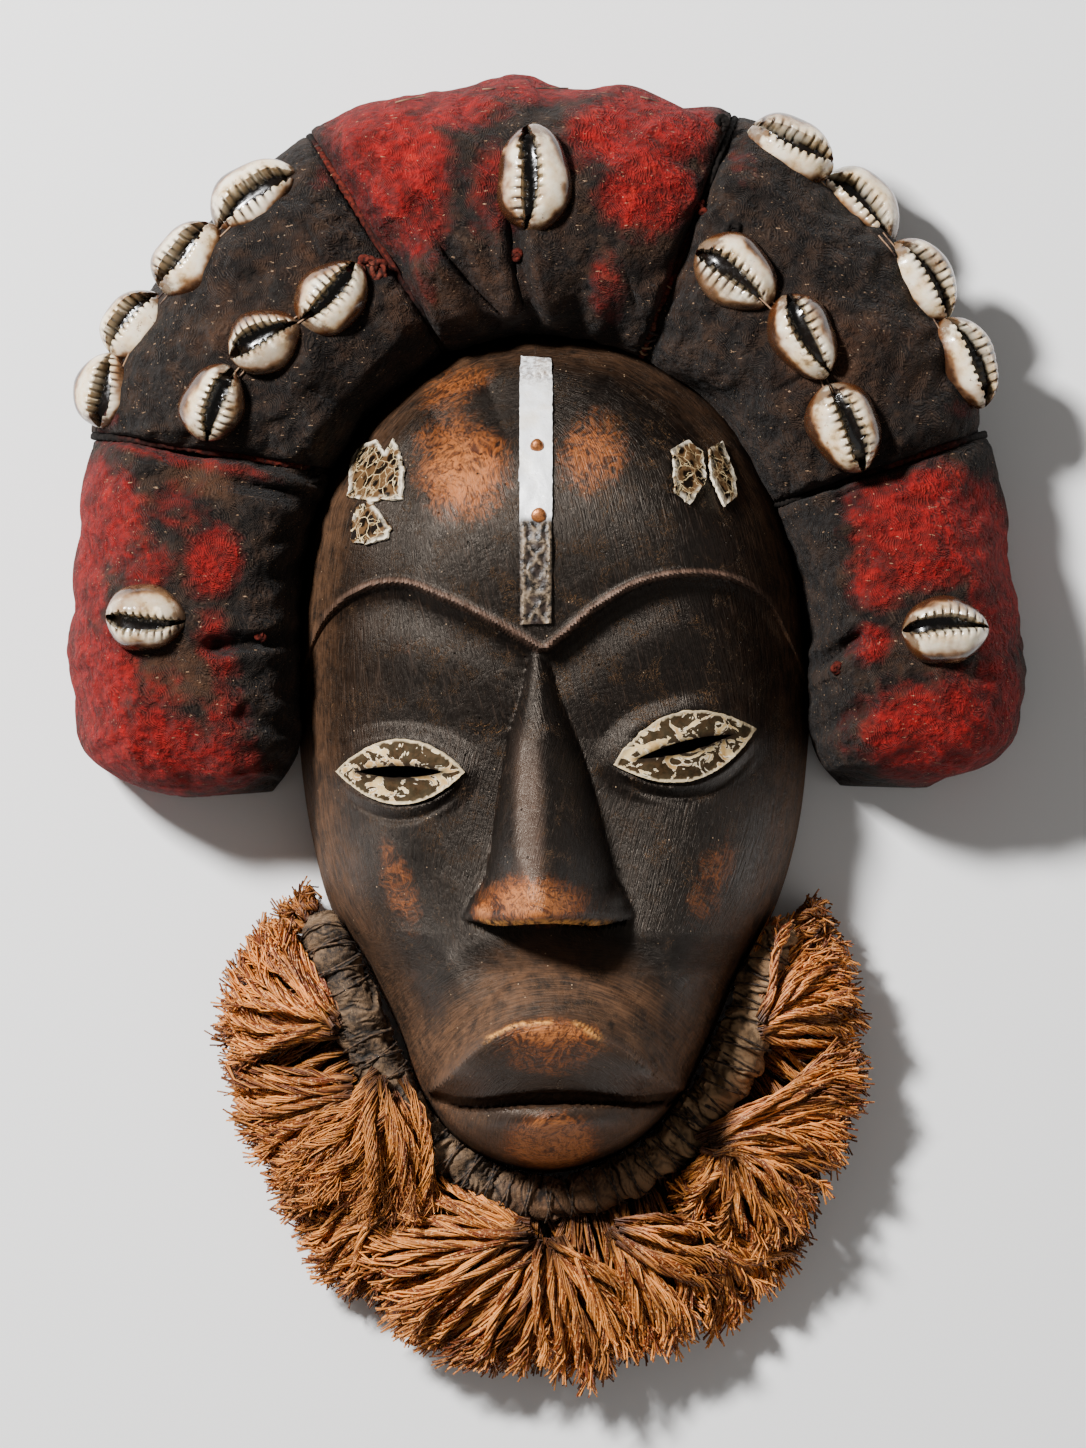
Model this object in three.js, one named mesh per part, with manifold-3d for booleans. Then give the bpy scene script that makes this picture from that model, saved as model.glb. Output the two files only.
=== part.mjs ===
// Carved wooden face mask with a stuffed cloth headdress, sewn-on cowrie shells and a raffia ruff.
// Millimetres. It lies on its back: the face looks up +Z, the crown points to +Y, the back is on Z = 0,
// and the origin is below the middle of the whole mask.

import * as THREE from "three";
import { mergeVertices } from "three/addons/utils/BufferGeometryUtils.js";
import Module from "manifold-3d";

const wasm = await Module();
wasm.setup();
const { clamp, degToRad, lerp } = THREE.MathUtils;

// Fits and thicknesses
const gap = 0.35; // clearance between pieces that touch
const wall = 8.5; // wood left round the hollow
const metal = 1.0; // plates and strip
const overhead = 130; // a height above the whole mask
const below = -20; // and one below it

// Rim of the wooden face, and the height of its dome along the middle line as [y, height]
const faceCentre = new THREE.Vector2(2, 5);
const faceRim = [
  [-0.5, 116], [-21.5, 112.5], [-41, 101.5], [-55, 86], [-65, 66.5], [-69.5, 44], [-71, 16],
  [-70, -6.5], [-67, -27.5], [-61, -49.5], [-50.5, -66.5], [-41.5, -84.5], [-35.5, -101.5],
  [-23, -117], [-2, -124], [20.5, -118.5], [36, -105.5], [44.5, -90.5], [53, -70.5], [64.5, -49.5],
  [71, -28.5], [74, -6.5], [75, 16], [72.5, 44], [66.5, 66.5], [55.5, 86], [41.5, 100.5], [22, 112.5],
];
const domeHeights = [[-124, 64], [-105, 74], [-80, 74], [-50, 66], [0, 66], [27, 71], [60, 78], [116, 80]];
const domeRoundness = 3; // how square the dome is at the sides, and more at the chin
const chinRoundness = 6.5;
const ringCrowding = 2.2; // the dome's rings crowd towards its steep rim

// Carving: each raised form is its outline in plan and its height above the dome
const carvingFloor = 30; // raised forms start inside the dome, above this height
const browRise = 3.5;
const beyondCrown = [[90, 60], [60, 125], [-60, 125], [-90, 60]]; // corners outside the rim, above the brow
const browCrest = { width: 3, rise: 4.9 };
const browLine = [
  [-73.5, 10.5], [-68.5, 20.5], [-62, 33], [-52.5, 40.5], [-41, 42.5], [-27, 37.5], [-13, 30.5], [-5, 26],
  [-1, 24], [3.5, 27], [15, 36.5], [27.5, 43], [40, 45], [52.5, 43.5], [62, 37.5], [68, 27.5], [74, 13.5],
];
const muzzle = {
  rise: 4,
  outline: [[-33.5, -101], [-26.5, -87.5], [-19, -76.5], [-10.5, -68], [-2, -63.5], [9, -64.5], [20.5, -69.5],
    [30, -80.5], [40.5, -100.5]],
};
const upperLip = {
  rise: 12,
  outline: [[-31, -98], [-24.5, -90.5], [-16, -83], [-9, -79.5], [-2, -78.5], [6.5, -78.5], [13.5, -82],
    [22, -87], [29, -92.5], [36, -98.5], [26, -100.5], [2, -99.5], [-19, -100.5]],
};
const lowerLip = {
  rise: 11,
  outline: [[-27, -104], [-7.5, -103], [15, -102.5], [33, -104], [29.5, -110], [20.5, -117], [9, -121],
    [-2, -122.5], [-13, -120], [-22.5, -115]],
};
// Nose sections from root to base: [y, ridge height, width left of the ridge, width right of it]
const noseRidgeX = -3;
const noseFoot = 45; // the nose reaches down to this height inside the dome
const noseSunk = 4; // its sides start this far under the dome
const noseRoundness = 1.6;
const noseSections = [
  [25, 70, 1.5, 2.5], [14, 74, 4, 6.5], [0, 79, 8, 12], [-16, 86, 10, 16], [-32, 93.5, 10.5, 19.5],
  [-41, 97.5, 12, 21.5], [-46, 98.5, 17, 24.5], [-50, 96.5, 19.5, 27.5], [-51.5, 92, 18.5, 26.5],
];
const eyes = [
  { side: "left", centre: [-41, -9.5], length: 37, height: 18.5, tilt: 0, slit: 25 },
  { side: "right", centre: [38.5, -2.5], length: 42, height: 19.5, tilt: 14, slit: 28 },
];
const slitHeight = 3.4;

// Metal on the forehead
const strip = { left: -7.5, right: 1.5, bottom: 31.3, top: 107 };
const stripNails = [{ name: "strip_nail_upper", at: [-2.8, 81], radius: 1.7, height: 1.5 },
  { name: "strip_nail_lower", at: [-2.3, 61.5], radius: 2, height: 0.8 }];
const templePlates = {
  left_upper_temple_plate: [[-55, 79], [-52, 82.5], [-48, 83.5], [-45.5, 79.5], [-43, 83.5], [-40, 75.5],
    [-40.5, 66.5], [-49.5, 66], [-56, 67.5]],
  left_lower_temple_plate: [[-53, 65], [-49, 65.5], [-43.5, 58], [-44.5, 55.5], [-50, 54], [-54.5, 54.5],
    [-55, 59.5]],
  right_inner_temple_plate: [[35, 80.5], [39.5, 83], [43.5, 80], [44.5, 72], [40, 65], [36, 68]],
  right_outer_temple_plate: [[45.5, 81], [49.5, 83], [53, 73], [53, 67.5], [49.5, 64.5], [46, 73]],
};

// Headdress: five stuffed sections. Each rib runs from the face outwards, and the end ribs are seams.
// Heights are shares of its thickness: `rim` is where the sides turn under, `pinch` the height at a seam,
// and `shut` the height where a lobe closes, over the last `closing` of its length.
const cloth = {
  rim: 0.16, edge: 0.93, roundness: 2.6, innerRoundness: 4.4, pinch: 0.86, pinchPower: 4,
  shut: 0.5, closing: 0.34,
};
const headdress = [
  {
    name: "headdress_left_lobe", thickness: 54, closes: "start",
    inner: [[-77, -14.5], [-72.5, -8], [-69, 0], [-68.5, 14], [-68.5, 38.5], [-66, 56.5], [-60, 74.5]],
    outer: [[-104, -15.5], [-123, -9.5], [-133, 1.5], [-135, 21.5], [-134.5, 41.5], [-132, 63.5],
      [-128.5, 85]],
  },
  {
    name: "headdress_left_panel", thickness: 57,
    inner: [[-60, 75], [-55, 83.5], [-49, 91.5], [-41, 98.5], [-35.5, 103.5], [-28.5, 108]],
    outer: [[-128.5, 85.5], [-126, 100], [-119, 116.5], [-107, 134.5], [-90, 152], [-67.5, 170]],
  },
  {
    name: "headdress_top_panel", thickness: 60,
    inner: [[-28.2, 108.2], [-18, 110.5], [-7.5, 111.5], [3.5, 111.5], [15, 109.5], [25.8, 105.8]],
    outer: [[-67, 170.3], [-48, 180.5], [-27, 185], [-3.5, 186], [20.5, 185], [53, 175.5]],
  },
  {
    name: "headdress_right_panel", thickness: 57,
    inner: [[26, 105.5], [34, 101], [42, 94.5], [49, 87.5], [56, 77.5], [63, 65]],
    outer: [[53.5, 175], [71, 166.5], [88, 152.5], [103, 135], [115, 114], [124, 86]],
  },
  {
    name: "headdress_right_lobe", thickness: 54, closes: "end",
    inner: [[63, 64.5], [67.5, 52.5], [71.5, 35.5], [73, 16], [74, 3], [77, -6], [82.5, -12.5]],
    outer: [[124, 85.5], [129.5, 63.5], [133, 44], [135, 24.5], [134.5, 4.5], [126, -5.5], [109, -13]],
  },
];

// Cowries: place in plan, length, width, and the angle of the long axis, worked round from +X
const shellProfile = [[0.9, -6.5], [0.98, 3.6], [0.66, 8.1]]; // share of the outline, height above the cloth
const shellSlit = { length: 0.9, width: 0.16, floor: 6.3 }; // shares of the shell, and its lowest height
const shellSkew = 0.12; // one end is this much broader than the other
const shellUpright = 2; // a shell leans this much less than the cloth under it
const cowries = {
  cowrie_left_outer_1: { at: [-81.5, 151], size: [27.5, 19], angle: 35 },
  cowrie_left_outer_2: { at: [-99.5, 133.5], size: [24, 18], angle: 52 },
  cowrie_left_outer_3: { at: [-114.5, 115.5], size: [22, 17], angle: 50 },
  cowrie_left_outer_4: { at: [-123, 97.5], size: [21.5, 17], angle: 80 },
  cowrie_left_inner_1: { at: [-60, 122.7], size: [24, 17.5], angle: 48 },
  cowrie_left_inner_2: { at: [-78.3, 110.3], size: [21.5, 16.5], angle: 27 },
  cowrie_left_inner_3: { at: [-93, 93.5], size: [22.5, 17], angle: 70 },
  cowrie_middle: { at: [-3.5, 155.5], size: [30.5, 20], angle: 90 },
  cowrie_right_outer_1: { at: [68, 164], size: [26.5, 18.5], angle: -25 },
  cowrie_right_outer_2: { at: [88, 149], size: [26.5, 17.5], angle: -48 },
  cowrie_right_outer_3: { at: [104, 128], size: [26.5, 17.5], angle: -57 },
  cowrie_right_outer_4: { at: [116, 105], size: [27.5, 17], angle: -66 },
  cowrie_right_inner_1: { at: [53, 129.5], size: [26, 18.5], angle: -38 },
  cowrie_right_inner_2: { at: [71.5, 111.5], size: [26, 17], angle: -62 },
  cowrie_right_inner_3: { at: [83, 86.5], size: [26.5, 19.5], angle: -68 },
  cowrie_left_lobe: { at: [-111.5, 33.5], size: [23, 17.5], angle: -3 },
  cowrie_right_lobe: { at: [111, 30], size: [24.5, 17.5], angle: 2 },
};

// Jaw cord, wrapped and tied: [x, y, height of its middle, radius]
const cordRoute = [
  [-63.5, -50, 20, 7], [-60.5, -60, 23, 8], [-56, -72, 24, 8.4], [-51, -84.5, 24, 8.2],
  [-44.5, -98, 24, 7.6], [-37, -109.5, 23, 7], [-26, -121, 22, 6.5], [-12.5, -129.5, 21, 6.2],
  [2, -131.5, 21, 6.2], [18, -127.5, 21, 6.4], [31, -120, 22, 6.8], [42.5, -108.5, 23, 7.4],
  [51, -95, 24, 8.2], [56.5, -81.5, 24, 8.4], [61, -68, 23, 8], [67, -52, 20, 7],
];
const cordSteps = 28;
const cordSides = 7;
const cordTies = 9;
const tieDepth = 0.09; // how far a tie pulls the cord in
const cordEnd = 0.75; // its ends are this much thinner
const cordTall = 1.15; // and it stands this much higher than it is wide

// Raffia ruff: tufts fan out from the cord to this outline, and a second layer lies on the first
const ruffOutline = [
  [-70, -44], [-85, -58], [-94, -81], [-91.5, -99], [-88, -113], [-80, -129], [-69, -147], [-59, -161],
  [-41, -172.5], [-21, -181], [-2, -182.5], [15, -186], [28, -178], [43, -172.5], [59, -161], [73, -148],
  [80.5, -129], [89, -112], [91.5, -93], [89.5, -70], [78, -47],
];
const ruffLayers = [
  {
    tufts: 14, reach: 1, rootHeight: 14, tipHeight: 10,
    rootHalf: 9.5, rootThick: 24, tipHalf: 15.5, tipThick: 22,
  },
  {
    tufts: 9, reach: 0.86, rootHeight: 29, tipHeight: 27,
    rootHalf: 10, rootThick: 16, tipHalf: 15, tipThick: 17,
  },
];
const tuftSides = 5;
const brush = { start: 0.9, end: 0.6 }; // where a tuft's blunt end begins to close, and how far it closes

const colours = {
  wood: { color: 0x241a16, roughness: 0.5, metalness: 0 },
  redCloth: { color: 0x8e2620, roughness: 0.95, metalness: 0 },
  darkCloth: { color: 0x2d2522, roughness: 0.95, metalness: 0 },
  shell: { color: 0xf1e4d0, roughness: 0.25, metalness: 0 },
  brightMetal: { color: 0xd9d4cc, roughness: 0.45, metalness: 0.9 },
  agedMetal: { color: 0xbfa883, roughness: 0.6, metalness: 0.7 },
  nail: { color: 0x8a5a36, roughness: 0.5, metalness: 0.8 },
  cord: { color: 0x39302b, roughness: 0.9, metalness: 0 },
  raffia: { color: 0xb5763f, roughness: 0.85, metalness: 0 },
};

// A closed three.js geometry as a solid with its faces pointing out.
function solidOf(geometry) {
  const bare = new THREE.BufferGeometry();
  bare.setAttribute("position", geometry.getAttribute("position"));
  bare.setIndex(geometry.index);
  const merged = mergeVertices(bare, 1e-4);
  const positions = merged.attributes.position.array;
  const triVerts = new Uint32Array(merged.index ? merged.index.array : positions.length / 3);
  const solid = new wasm.Manifold(new wasm.Mesh({ numProp: 3, vertProperties: positions, triVerts }));
  if (solid.volume() > 0) return solid;
  for (let i = 0; i < triVerts.length; i += 3) {
    [triVerts[i + 1], triVerts[i + 2]] = [triVerts[i + 2], triVerts[i + 1]];
  }
  return new wasm.Manifold(new wasm.Mesh({ numProp: 3, vertProperties: positions, triVerts }));
}

// A skin over rings of points, each ring closed, with a fan of faces over the first and the last.
function loft(rings) {
  const size = rings[0].length;
  const points = rings.flat();
  const faces = [];
  for (let k = 0; k + 1 < rings.length; k++) {
    for (let i = 0; i < size; i++) {
      const [a, b] = [k * size + i, k * size + ((i + 1) % size)];
      faces.push(a, b, a + size, b, b + size, a + size);
    }
  }
  for (const [first, turn] of [[0, 1], [points.length - size, 0]]) {
    const hub = points.length;
    const ring = rings[turn ? 0 : rings.length - 1];
    points.push(ring.reduce((sum, p) => sum.add(p), new THREE.Vector3()).divideScalar(size));
    for (let i = 0; i < size; i++) {
      const pair = [first + i, first + ((i + 1) % size)];
      faces.push(hub, pair[turn], pair[1 - turn]);
    }
  }
  const geometry = new THREE.BufferGeometry().setFromPoints(points);
  return solidOf(geometry.setIndex(faces));
}

// A straight-walled block over an outline in plan.
function prism(outline, low, high) {
  const shape = new THREE.Shape(outline.map(([x, y]) => new THREE.Vector2(x, y)));
  const geometry = new THREE.ExtrudeGeometry(shape, { depth: high - low, bevelEnabled: false });
  return solidOf(geometry.translate(0, 0, low));
}

// The value at a place along [place, value, ...] rows, smoothly through every row.
function along(rows, place, column = 1) {
  const last = rows.length - 1;
  if (place <= rows[0][0]) return rows[0][column];
  if (place >= rows[last][0]) return rows[last][column];
  const k = rows.findIndex((row) => row[0] > place) - 1;
  const slope = (i) => {
    const [a, b] = [rows[Math.max(0, i - 1)], rows[Math.min(last, i + 1)]];
    return (b[column] - a[column]) / (b[0] - a[0]);
  };
  const span = rows[k + 1][0] - rows[k][0];
  const t = (place - rows[k][0]) / span;
  const [a, b] = [rows[k][column], rows[k + 1][column]];
  const ease = t * t * (3 - 2 * t);
  return a + (b - a) * ease + span * t * (1 - t) * ((1 - t) * slope(k) - t * slope(k + 1));
}

// A smooth curve through points, and `count` points on it in equal steps of the curve's own measure.
function smoothCurve(points, closed = false) {
  const corners = points.map(([x, y, z = 0]) => new THREE.Vector3(x, y, z));
  return new THREE.CatmullRomCurve3(corners, closed, "centripetal");
}

function curveThrough(points, count, closed = false) {
  const curve = smoothCurve(points, closed);
  return Array.from({ length: count }, (_, i) => curve.getPoint(i / (closed ? count : count - 1)));
}

// The face: radius of its rim in each direction from its centre.
const rimSamples = curveThrough(faceRim, 420, true).map((p) => ({
  angle: Math.atan2(p.y - faceCentre.y, p.x - faceCentre.x),
  radius: Math.hypot(p.x - faceCentre.x, p.y - faceCentre.y),
})).sort((a, b) => a.angle - b.angle);

function rimRadius(angle) {
  const last = rimSamples.length - 1;
  const next = rimSamples.findIndex((s) => s.angle >= angle);
  if (next <= 0) return (rimSamples[0].radius + rimSamples[last].radius) / 2;
  const [a, b] = [rimSamples[next - 1], rimSamples[next]];
  return lerp(a.radius, b.radius, (angle - a.angle) / (b.angle - a.angle));
}

// Height of the smooth dome at `reach`, the share of the way from its centre to its rim.
function domeAt(reach, angle, y) {
  const down = Math.max(0, -Math.sin(angle));
  const power = lerp(domeRoundness, chinRoundness, down * down);
  return along(domeHeights, y) * Math.sqrt(Math.max(0, 1 - reach ** power));
}

function domeHeight(x, y) {
  const [dx, dy] = [x - faceCentre.x, y - faceCentre.y];
  const angle = Math.atan2(dy, dx);
  return domeAt(Math.min(1, Math.hypot(dx, dy) / rimRadius(angle)), angle, y);
}

// The dome as a solid, grown outwards and lifted, down to a floor.
function dome({ grow = 0, lift = 0, floor = 0, angles = 32, rings = 9 } = {}) {
  const ring = (reach, height) => Array.from({ length: angles }, (_, i) => {
    const angle = (i / angles - 0.5) * 2 * Math.PI;
    const radius = (rimRadius(angle) + grow) * reach;
    const [x, y] = [faceCentre.x + radius * Math.cos(angle), faceCentre.y + radius * Math.sin(angle)];
    return new THREE.Vector3(x, y, height ?? lift + domeAt(reach, angle, y));
  });
  const sections = [ring(1, floor)];
  for (let k = 1; k < rings; k++) sections.push(ring(1 - (k / rings) ** ringCrowding));
  return loft(sections);
}

// A sheet that lies on the dome over an outline, between two heights above it.
function sheetOnDome(outline, low, high) {
  const block = dome({ lift: high }).intersect(prism(outline, 1, overhead));
  return block.subtract(dome({ lift: low, floor: -gap }));
}

function lens([x, y], length, height, tilt, count = 6) {
  const [c, s] = [Math.cos(degToRad(tilt)), Math.sin(degToRad(tilt))];
  const edge = [];
  for (let side = 1; side >= -1; side -= 2) {
    for (let i = 0; i < count - 1; i++) {
      const t = side * lerp(-1, 1, i / (count - 1));
      const [dx, dy] = [(t * length) / 2, (side * height * (1 - t * t)) / 2];
      edge.push([x + dx * c - dy * s, y + dx * s + dy * c]);
    }
  }
  return edge;
}

function browPoints(count) {
  return curveThrough(browLine, count).map((p) => [p.x, p.y]);
}

// Everything above the brow line stands forward, with a crest along the line itself.
function forehead() {
  const line = browPoints(23);
  const crestTop = line.map(([x, y]) => [x, y + browCrest.width]).reverse();
  const raised = dome({ lift: browRise }).intersect(prism([...line, ...beyondCrown], 1, overhead));
  const crest = dome({ lift: browCrest.rise }).intersect(prism([...line, ...crestTop], 1, overhead));
  return raised.add(crest).intersect(dome({ lift: 20, grow: -0.2 }));
}

function nose() {
  const steps = 6;
  return loft(noseSections.map(([y, top, left, right]) => {
    const section = [];
    for (let i = -steps; i <= steps; i++) {
      const t = i / steps;
      const x = noseRidgeX + t * (t < 0 ? left : right);
      const side = domeHeight(x, y) - noseSunk;
      section.push(new THREE.Vector3(x, y, side + (top - side) * (1 - Math.abs(t) ** noseRoundness)));
    }
    for (const x of [noseRidgeX + right, noseRidgeX - left]) section.push(new THREE.Vector3(x, y, noseFoot));
    return section;
  }));
}

function carvedForm({ rise, outline }) {
  return dome({ lift: rise }).intersect(prism(outline, carvingFloor, overhead));
}

function carvedFace() {
  let face = dome().add(forehead()).add(nose());
  for (const form of [muzzle, upperLip, lowerLip]) face = face.add(carvedForm(form));
  face = face.subtract(dome({ grow: -wall, lift: -wall, floor: below, angles: 22, rings: 7 }));
  for (const eye of eyes) face = face.subtract(eyeSlit(eye));
  return face;
}

function eyeSlit({ centre, slit, tilt }) {
  return prism(lens(centre, slit, slitHeight, tilt), 0, overhead);
}

function eyePlate(eye) {
  const outline = lens(eye.centre, eye.length, eye.height, eye.tilt);
  return sheetOnDome(outline, gap, gap + metal).subtract(eyeSlit(eye));
}

const faceClearance = dome({ grow: gap, lift: browCrest.rise + gap, floor: -gap });

// Headdress sections. A point is placed by `run`, along the section, and `turn`, round its stuffing.
function ribAt(section, run) {
  const pick = (points) => smoothCurve(points).getPoint(run);
  const ends = Math.min(run, 1 - run) * 2;
  const open = { start: run, end: 1 - run }[section.closes] ?? 1;
  const swell = lerp(cloth.pinch, 1, Math.sqrt(1 - (1 - ends) ** cloth.pinchPower));
  const shut = lerp(cloth.shut, 1, Math.sqrt(1 - (1 - clamp(open / cloth.closing, 0, 1)) ** 2));
  return { inner: pick(section.inner), outer: pick(section.outer), height: section.thickness * swell * shut };
}

function clothPoint(section, run, turn, grow = 0) {
  const { inner, outer, height } = ribAt(section, run);
  const across = outer.clone().sub(inner);
  const width = across.length();
  across.normalize();
  const half = width / 2 + grow;
  const middle = inner.clone().lerp(outer, 0.5);
  const [c, s] = [Math.cos(turn), Math.sin(turn)];
  const power = 2 / (c > 0 ? cloth.roundness : cloth.innerRoundness);
  const side = Math.sign(c) * Math.abs(c) ** power;
  const foot = height * cloth.rim;
  const up = s >= 0 ? foot + (height - foot + grow) * s ** (2 / cloth.roundness) : foot * (1 + s) - grow * -s;
  const tuck = s >= 0 ? 1 : lerp(1, cloth.edge, -s);
  return middle.addScaledVector(across, side * half * tuck).setZ(up);
}

const searchSteps = 8;
const clothRings = 7;
const clothSides = 12;
function clothSection(section, grow = 0) {
  const rings = Array.from({ length: clothRings }, (_, k) => {
    const run = k / (clothRings - 1);
    const ring = [];
    for (let i = 0; i <= clothSides; i++) {
      ring.push(clothPoint(section, run, (i / clothSides) * Math.PI, grow));
    }
    for (const corner of [Math.PI * 1.001, -0.001]) {
      const p = clothPoint(section, run, corner, grow);
      const middle = clothPoint(section, run, Math.PI / 2, 0);
      ring.push(p.lerp(middle, 1 - cloth.edge).setZ(-grow));
    }
    return ring;
  });
  return loft(rings).subtract(faceClearance);
}

// The place on the cloth under a point in plan: its height, the way the cloth faces, and its section.
function clothUnder(x, y) {
  const apart = (section, run, turn) => {
    const p = clothPoint(section, run, turn);
    return Math.hypot(p.x - x, p.y - y);
  };
  let best = { miss: Infinity };
  // tries a grid of places round one, out to `reach` of the whole section
  const look = (section, middleRun, middleTurn, reach) => {
    for (let i = -searchSteps; i <= searchSteps; i++) {
      for (let j = -searchSteps; j <= searchSteps; j++) {
        const run = clamp(middleRun + (i * reach) / (2 * searchSteps), 0, 1);
        const turn = clamp(middleTurn + (j * reach * Math.PI) / (2 * searchSteps), 0, Math.PI);
        const miss = apart(section, run, turn);
        if (miss < best.miss) best = { miss, section, run, turn };
      }
    }
  };
  for (const section of headdress) look(section, 0.5, Math.PI / 2, 1);
  for (const reach of [0.12, 0.015]) look(best.section, best.run, best.turn, reach);
  const { section, run, turn } = best;
  const alongRun = clothPoint(section, run + 0.01, turn).sub(clothPoint(section, run - 0.01, turn));
  const roundTurn = clothPoint(section, run, turn + 0.02).sub(clothPoint(section, run, turn - 0.02));
  const facing = alongRun.cross(roundTurn).normalize();
  return { point: clothPoint(section, run, turn), facing: facing.z < 0 ? facing.negate() : facing, section };
}

// A cowrie with its slit outwards, cut to the cloth that it is sewn to.
const shellSides = 8;
function cowrie({ at: [x, y], size: [length, width], angle }) {
  const { point, facing, section } = clothUnder(x, y);
  facing.z += shellUpright;
  facing.normalize();
  const [dx, dy] = [Math.cos(degToRad(angle)), Math.sin(degToRad(angle))];
  const axis = new THREE.Vector3(dx, dy, -(facing.x * dx + facing.y * dy) / facing.z).normalize();
  const frame = new THREE.Matrix4().makeBasis(axis, facing.clone().cross(axis), facing).setPosition(point);
  const ring = ([scale, height]) => Array.from({ length: shellSides }, (_, i) => {
    const turn = (i / shellSides) * 2 * Math.PI;
    const broad = width * (1 - shellSkew * Math.cos(turn));
    const [px, py] = [(length / 2) * Math.cos(turn), (broad / 2) * Math.sin(turn)];
    return new THREE.Vector3(px * scale, py * scale, height).applyMatrix4(frame);
  });
  const slitEdge = (height) => lens([0, 0], length * shellSlit.length, width * shellSlit.width, 0, 3)
    .map(([px, py]) => new THREE.Vector3(px, py, height).applyMatrix4(frame));
  const slit = loft([slitEdge(shellSlit.floor), slitEdge(2 * shellSlit.floor)]);
  return loft(shellProfile.map(ring)).subtract(slit).subtract(clothSection(section, gap));
}

// A point on the jaw cord's middle line, with its radius.
const cordCurve = smoothCurve(cordRoute);

function cordRadius(t) {
  const place = t * (cordRoute.length - 1);
  const k = Math.min(Math.floor(place), cordRoute.length - 2);
  return lerp(cordRoute[k][3], cordRoute[k + 1][3], place - k);
}

function jawCord(grow = 0) {
  const rings = Array.from({ length: cordSteps + 1 }, (_, k) => {
    const t = k / cordSteps;
    const middle = cordCurve.getPoint(t);
    const forward = cordCurve.getTangent(t);
    const outward = forward.clone().cross(new THREE.Vector3(0, 0, 1)).normalize();
    const upward = outward.clone().cross(forward);
    const tied = tieDepth * (0.5 + 0.5 * Math.cos(t * cordTies * 2 * Math.PI));
    const end = k === 0 || k === cordSteps ? cordEnd : 1;
    const radius = cordRadius(t) * end * (1 - tied) + grow;
    return Array.from({ length: cordSides }, (_, i) => {
      const turn = ((i + 0.5) / cordSides) * 2 * Math.PI;
      return middle.clone().addScaledVector(outward, radius * Math.cos(turn))
        .addScaledVector(upward, radius * cordTall * Math.sin(turn));
    });
  });
  return loft(rings).subtract(faceClearance);
}

// One tuft: tied at its root, opening to a blunt brush end.
function tuft(root, tip, layer) {
  const forward = tip.clone().sub(root);
  const length = forward.length();
  forward.normalize();
  const across = forward.clone().cross(new THREE.Vector3(0, 0, 1)).normalize();
  const upward = across.clone().cross(forward);
  const ring = (share, half, thick) => Array.from({ length: tuftSides }, (_, i) => {
    const turn = (i / tuftSides) * 2 * Math.PI;
    return root.clone().addScaledVector(forward, share * length)
      .addScaledVector(across, half * Math.cos(turn)).addScaledVector(upward, (thick / 2) * Math.sin(turn));
  });
  return loft([
    ring(0, layer.rootHalf, layer.rootThick), ring(brush.start, layer.tipHalf, layer.tipThick),
    ring(1, layer.tipHalf * brush.end, layer.tipThick * brush.end),
  ]);
}

function raffiaRuff() {
  const outline = smoothCurve(ruffOutline);
  let ruff = null;
  for (const layer of ruffLayers) {
    for (let i = 0; i < layer.tufts; i++) {
      const t = (i + 0.5) / layer.tufts;
      const root = cordCurve.getPointAt(t).setZ(layer.rootHeight);
      const tip = root.clone().lerp(outline.getPointAt(t), layer.reach).setZ(layer.tipHeight);
      const solid = tuft(root, tip, layer);
      ruff = ruff ? ruff.add(solid) : solid;
    }
  }
  const { min: [left, bottom, lowest], max: [right, top] } = ruff.boundingBox();
  const under = prism([[left, bottom], [right, bottom], [right, top], [left, top]], lowest - 1, 0);
  return ruff.subtract(under).subtract(faceClearance).subtract(jawCord(gap));
}

function foreheadStrip() {
  const { left, right, bottom, top } = strip;
  const outline = [[left, bottom], [right, bottom], [right, top], [left, top]];
  return sheetOnDome(outline, browRise + gap, browRise + gap + metal);
}

function stripNail({ at: [x, y], radius, height }) {
  const seat = domeHeight(x, y) + browRise + metal + 3 * gap;
  const ring = (size, z) => Array.from({ length: 8 }, (_, i) => {
    const turn = (i / 8) * 2 * Math.PI;
    return new THREE.Vector3(x + size * Math.cos(turn), y + size * Math.sin(turn), seat + z);
  });
  return loft([ring(radius, 0), ring(radius, height * 0.4), ring(radius * 0.6, height)]);
}

const mask = new THREE.Group();
mask.name = "cowrie_shell_mask";

function place(name, solid, look) {
  const { vertProperties, triVerts } = solid.getMesh();
  const geometry = new THREE.BufferGeometry();
  geometry.setAttribute("position", new THREE.BufferAttribute(vertProperties, 3));
  geometry.setIndex(new THREE.BufferAttribute(triVerts, 1));
  geometry.computeVertexNormals();
  const mesh = new THREE.Mesh(geometry, new THREE.MeshStandardMaterial(look));
  mesh.name = name;
  mask.add(mesh);
}

place("carved_face", carvedFace(), colours.wood);
for (const eye of eyes) place(`${eye.side}_eye_plate`, eyePlate(eye), colours.agedMetal);
place("forehead_strip", foreheadStrip(), colours.brightMetal);
for (const nail of stripNails) place(nail.name, stripNail(nail), colours.nail);
for (const [name, outline] of Object.entries(templePlates)) {
  place(name, sheetOnDome(outline, browRise + gap, browRise + gap + metal), colours.agedMetal);
}
for (const section of headdress) {
  const red = section.name.includes("lobe") || section.name.includes("top");
  place(section.name, clothSection(section), red ? colours.redCloth : colours.darkCloth);
}
for (const [name, shell] of Object.entries(cowries)) place(name, cowrie(shell), colours.shell);
place("jaw_cord", jawCord(), colours.cord);
place("raffia_ruff", raffiaRuff(), colours.raffia);

export default mask;
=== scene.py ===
import math

import bmesh
import bpy
import numpy as np
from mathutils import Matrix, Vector
from mathutils.geometry import delaunay_2d_cdt


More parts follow.
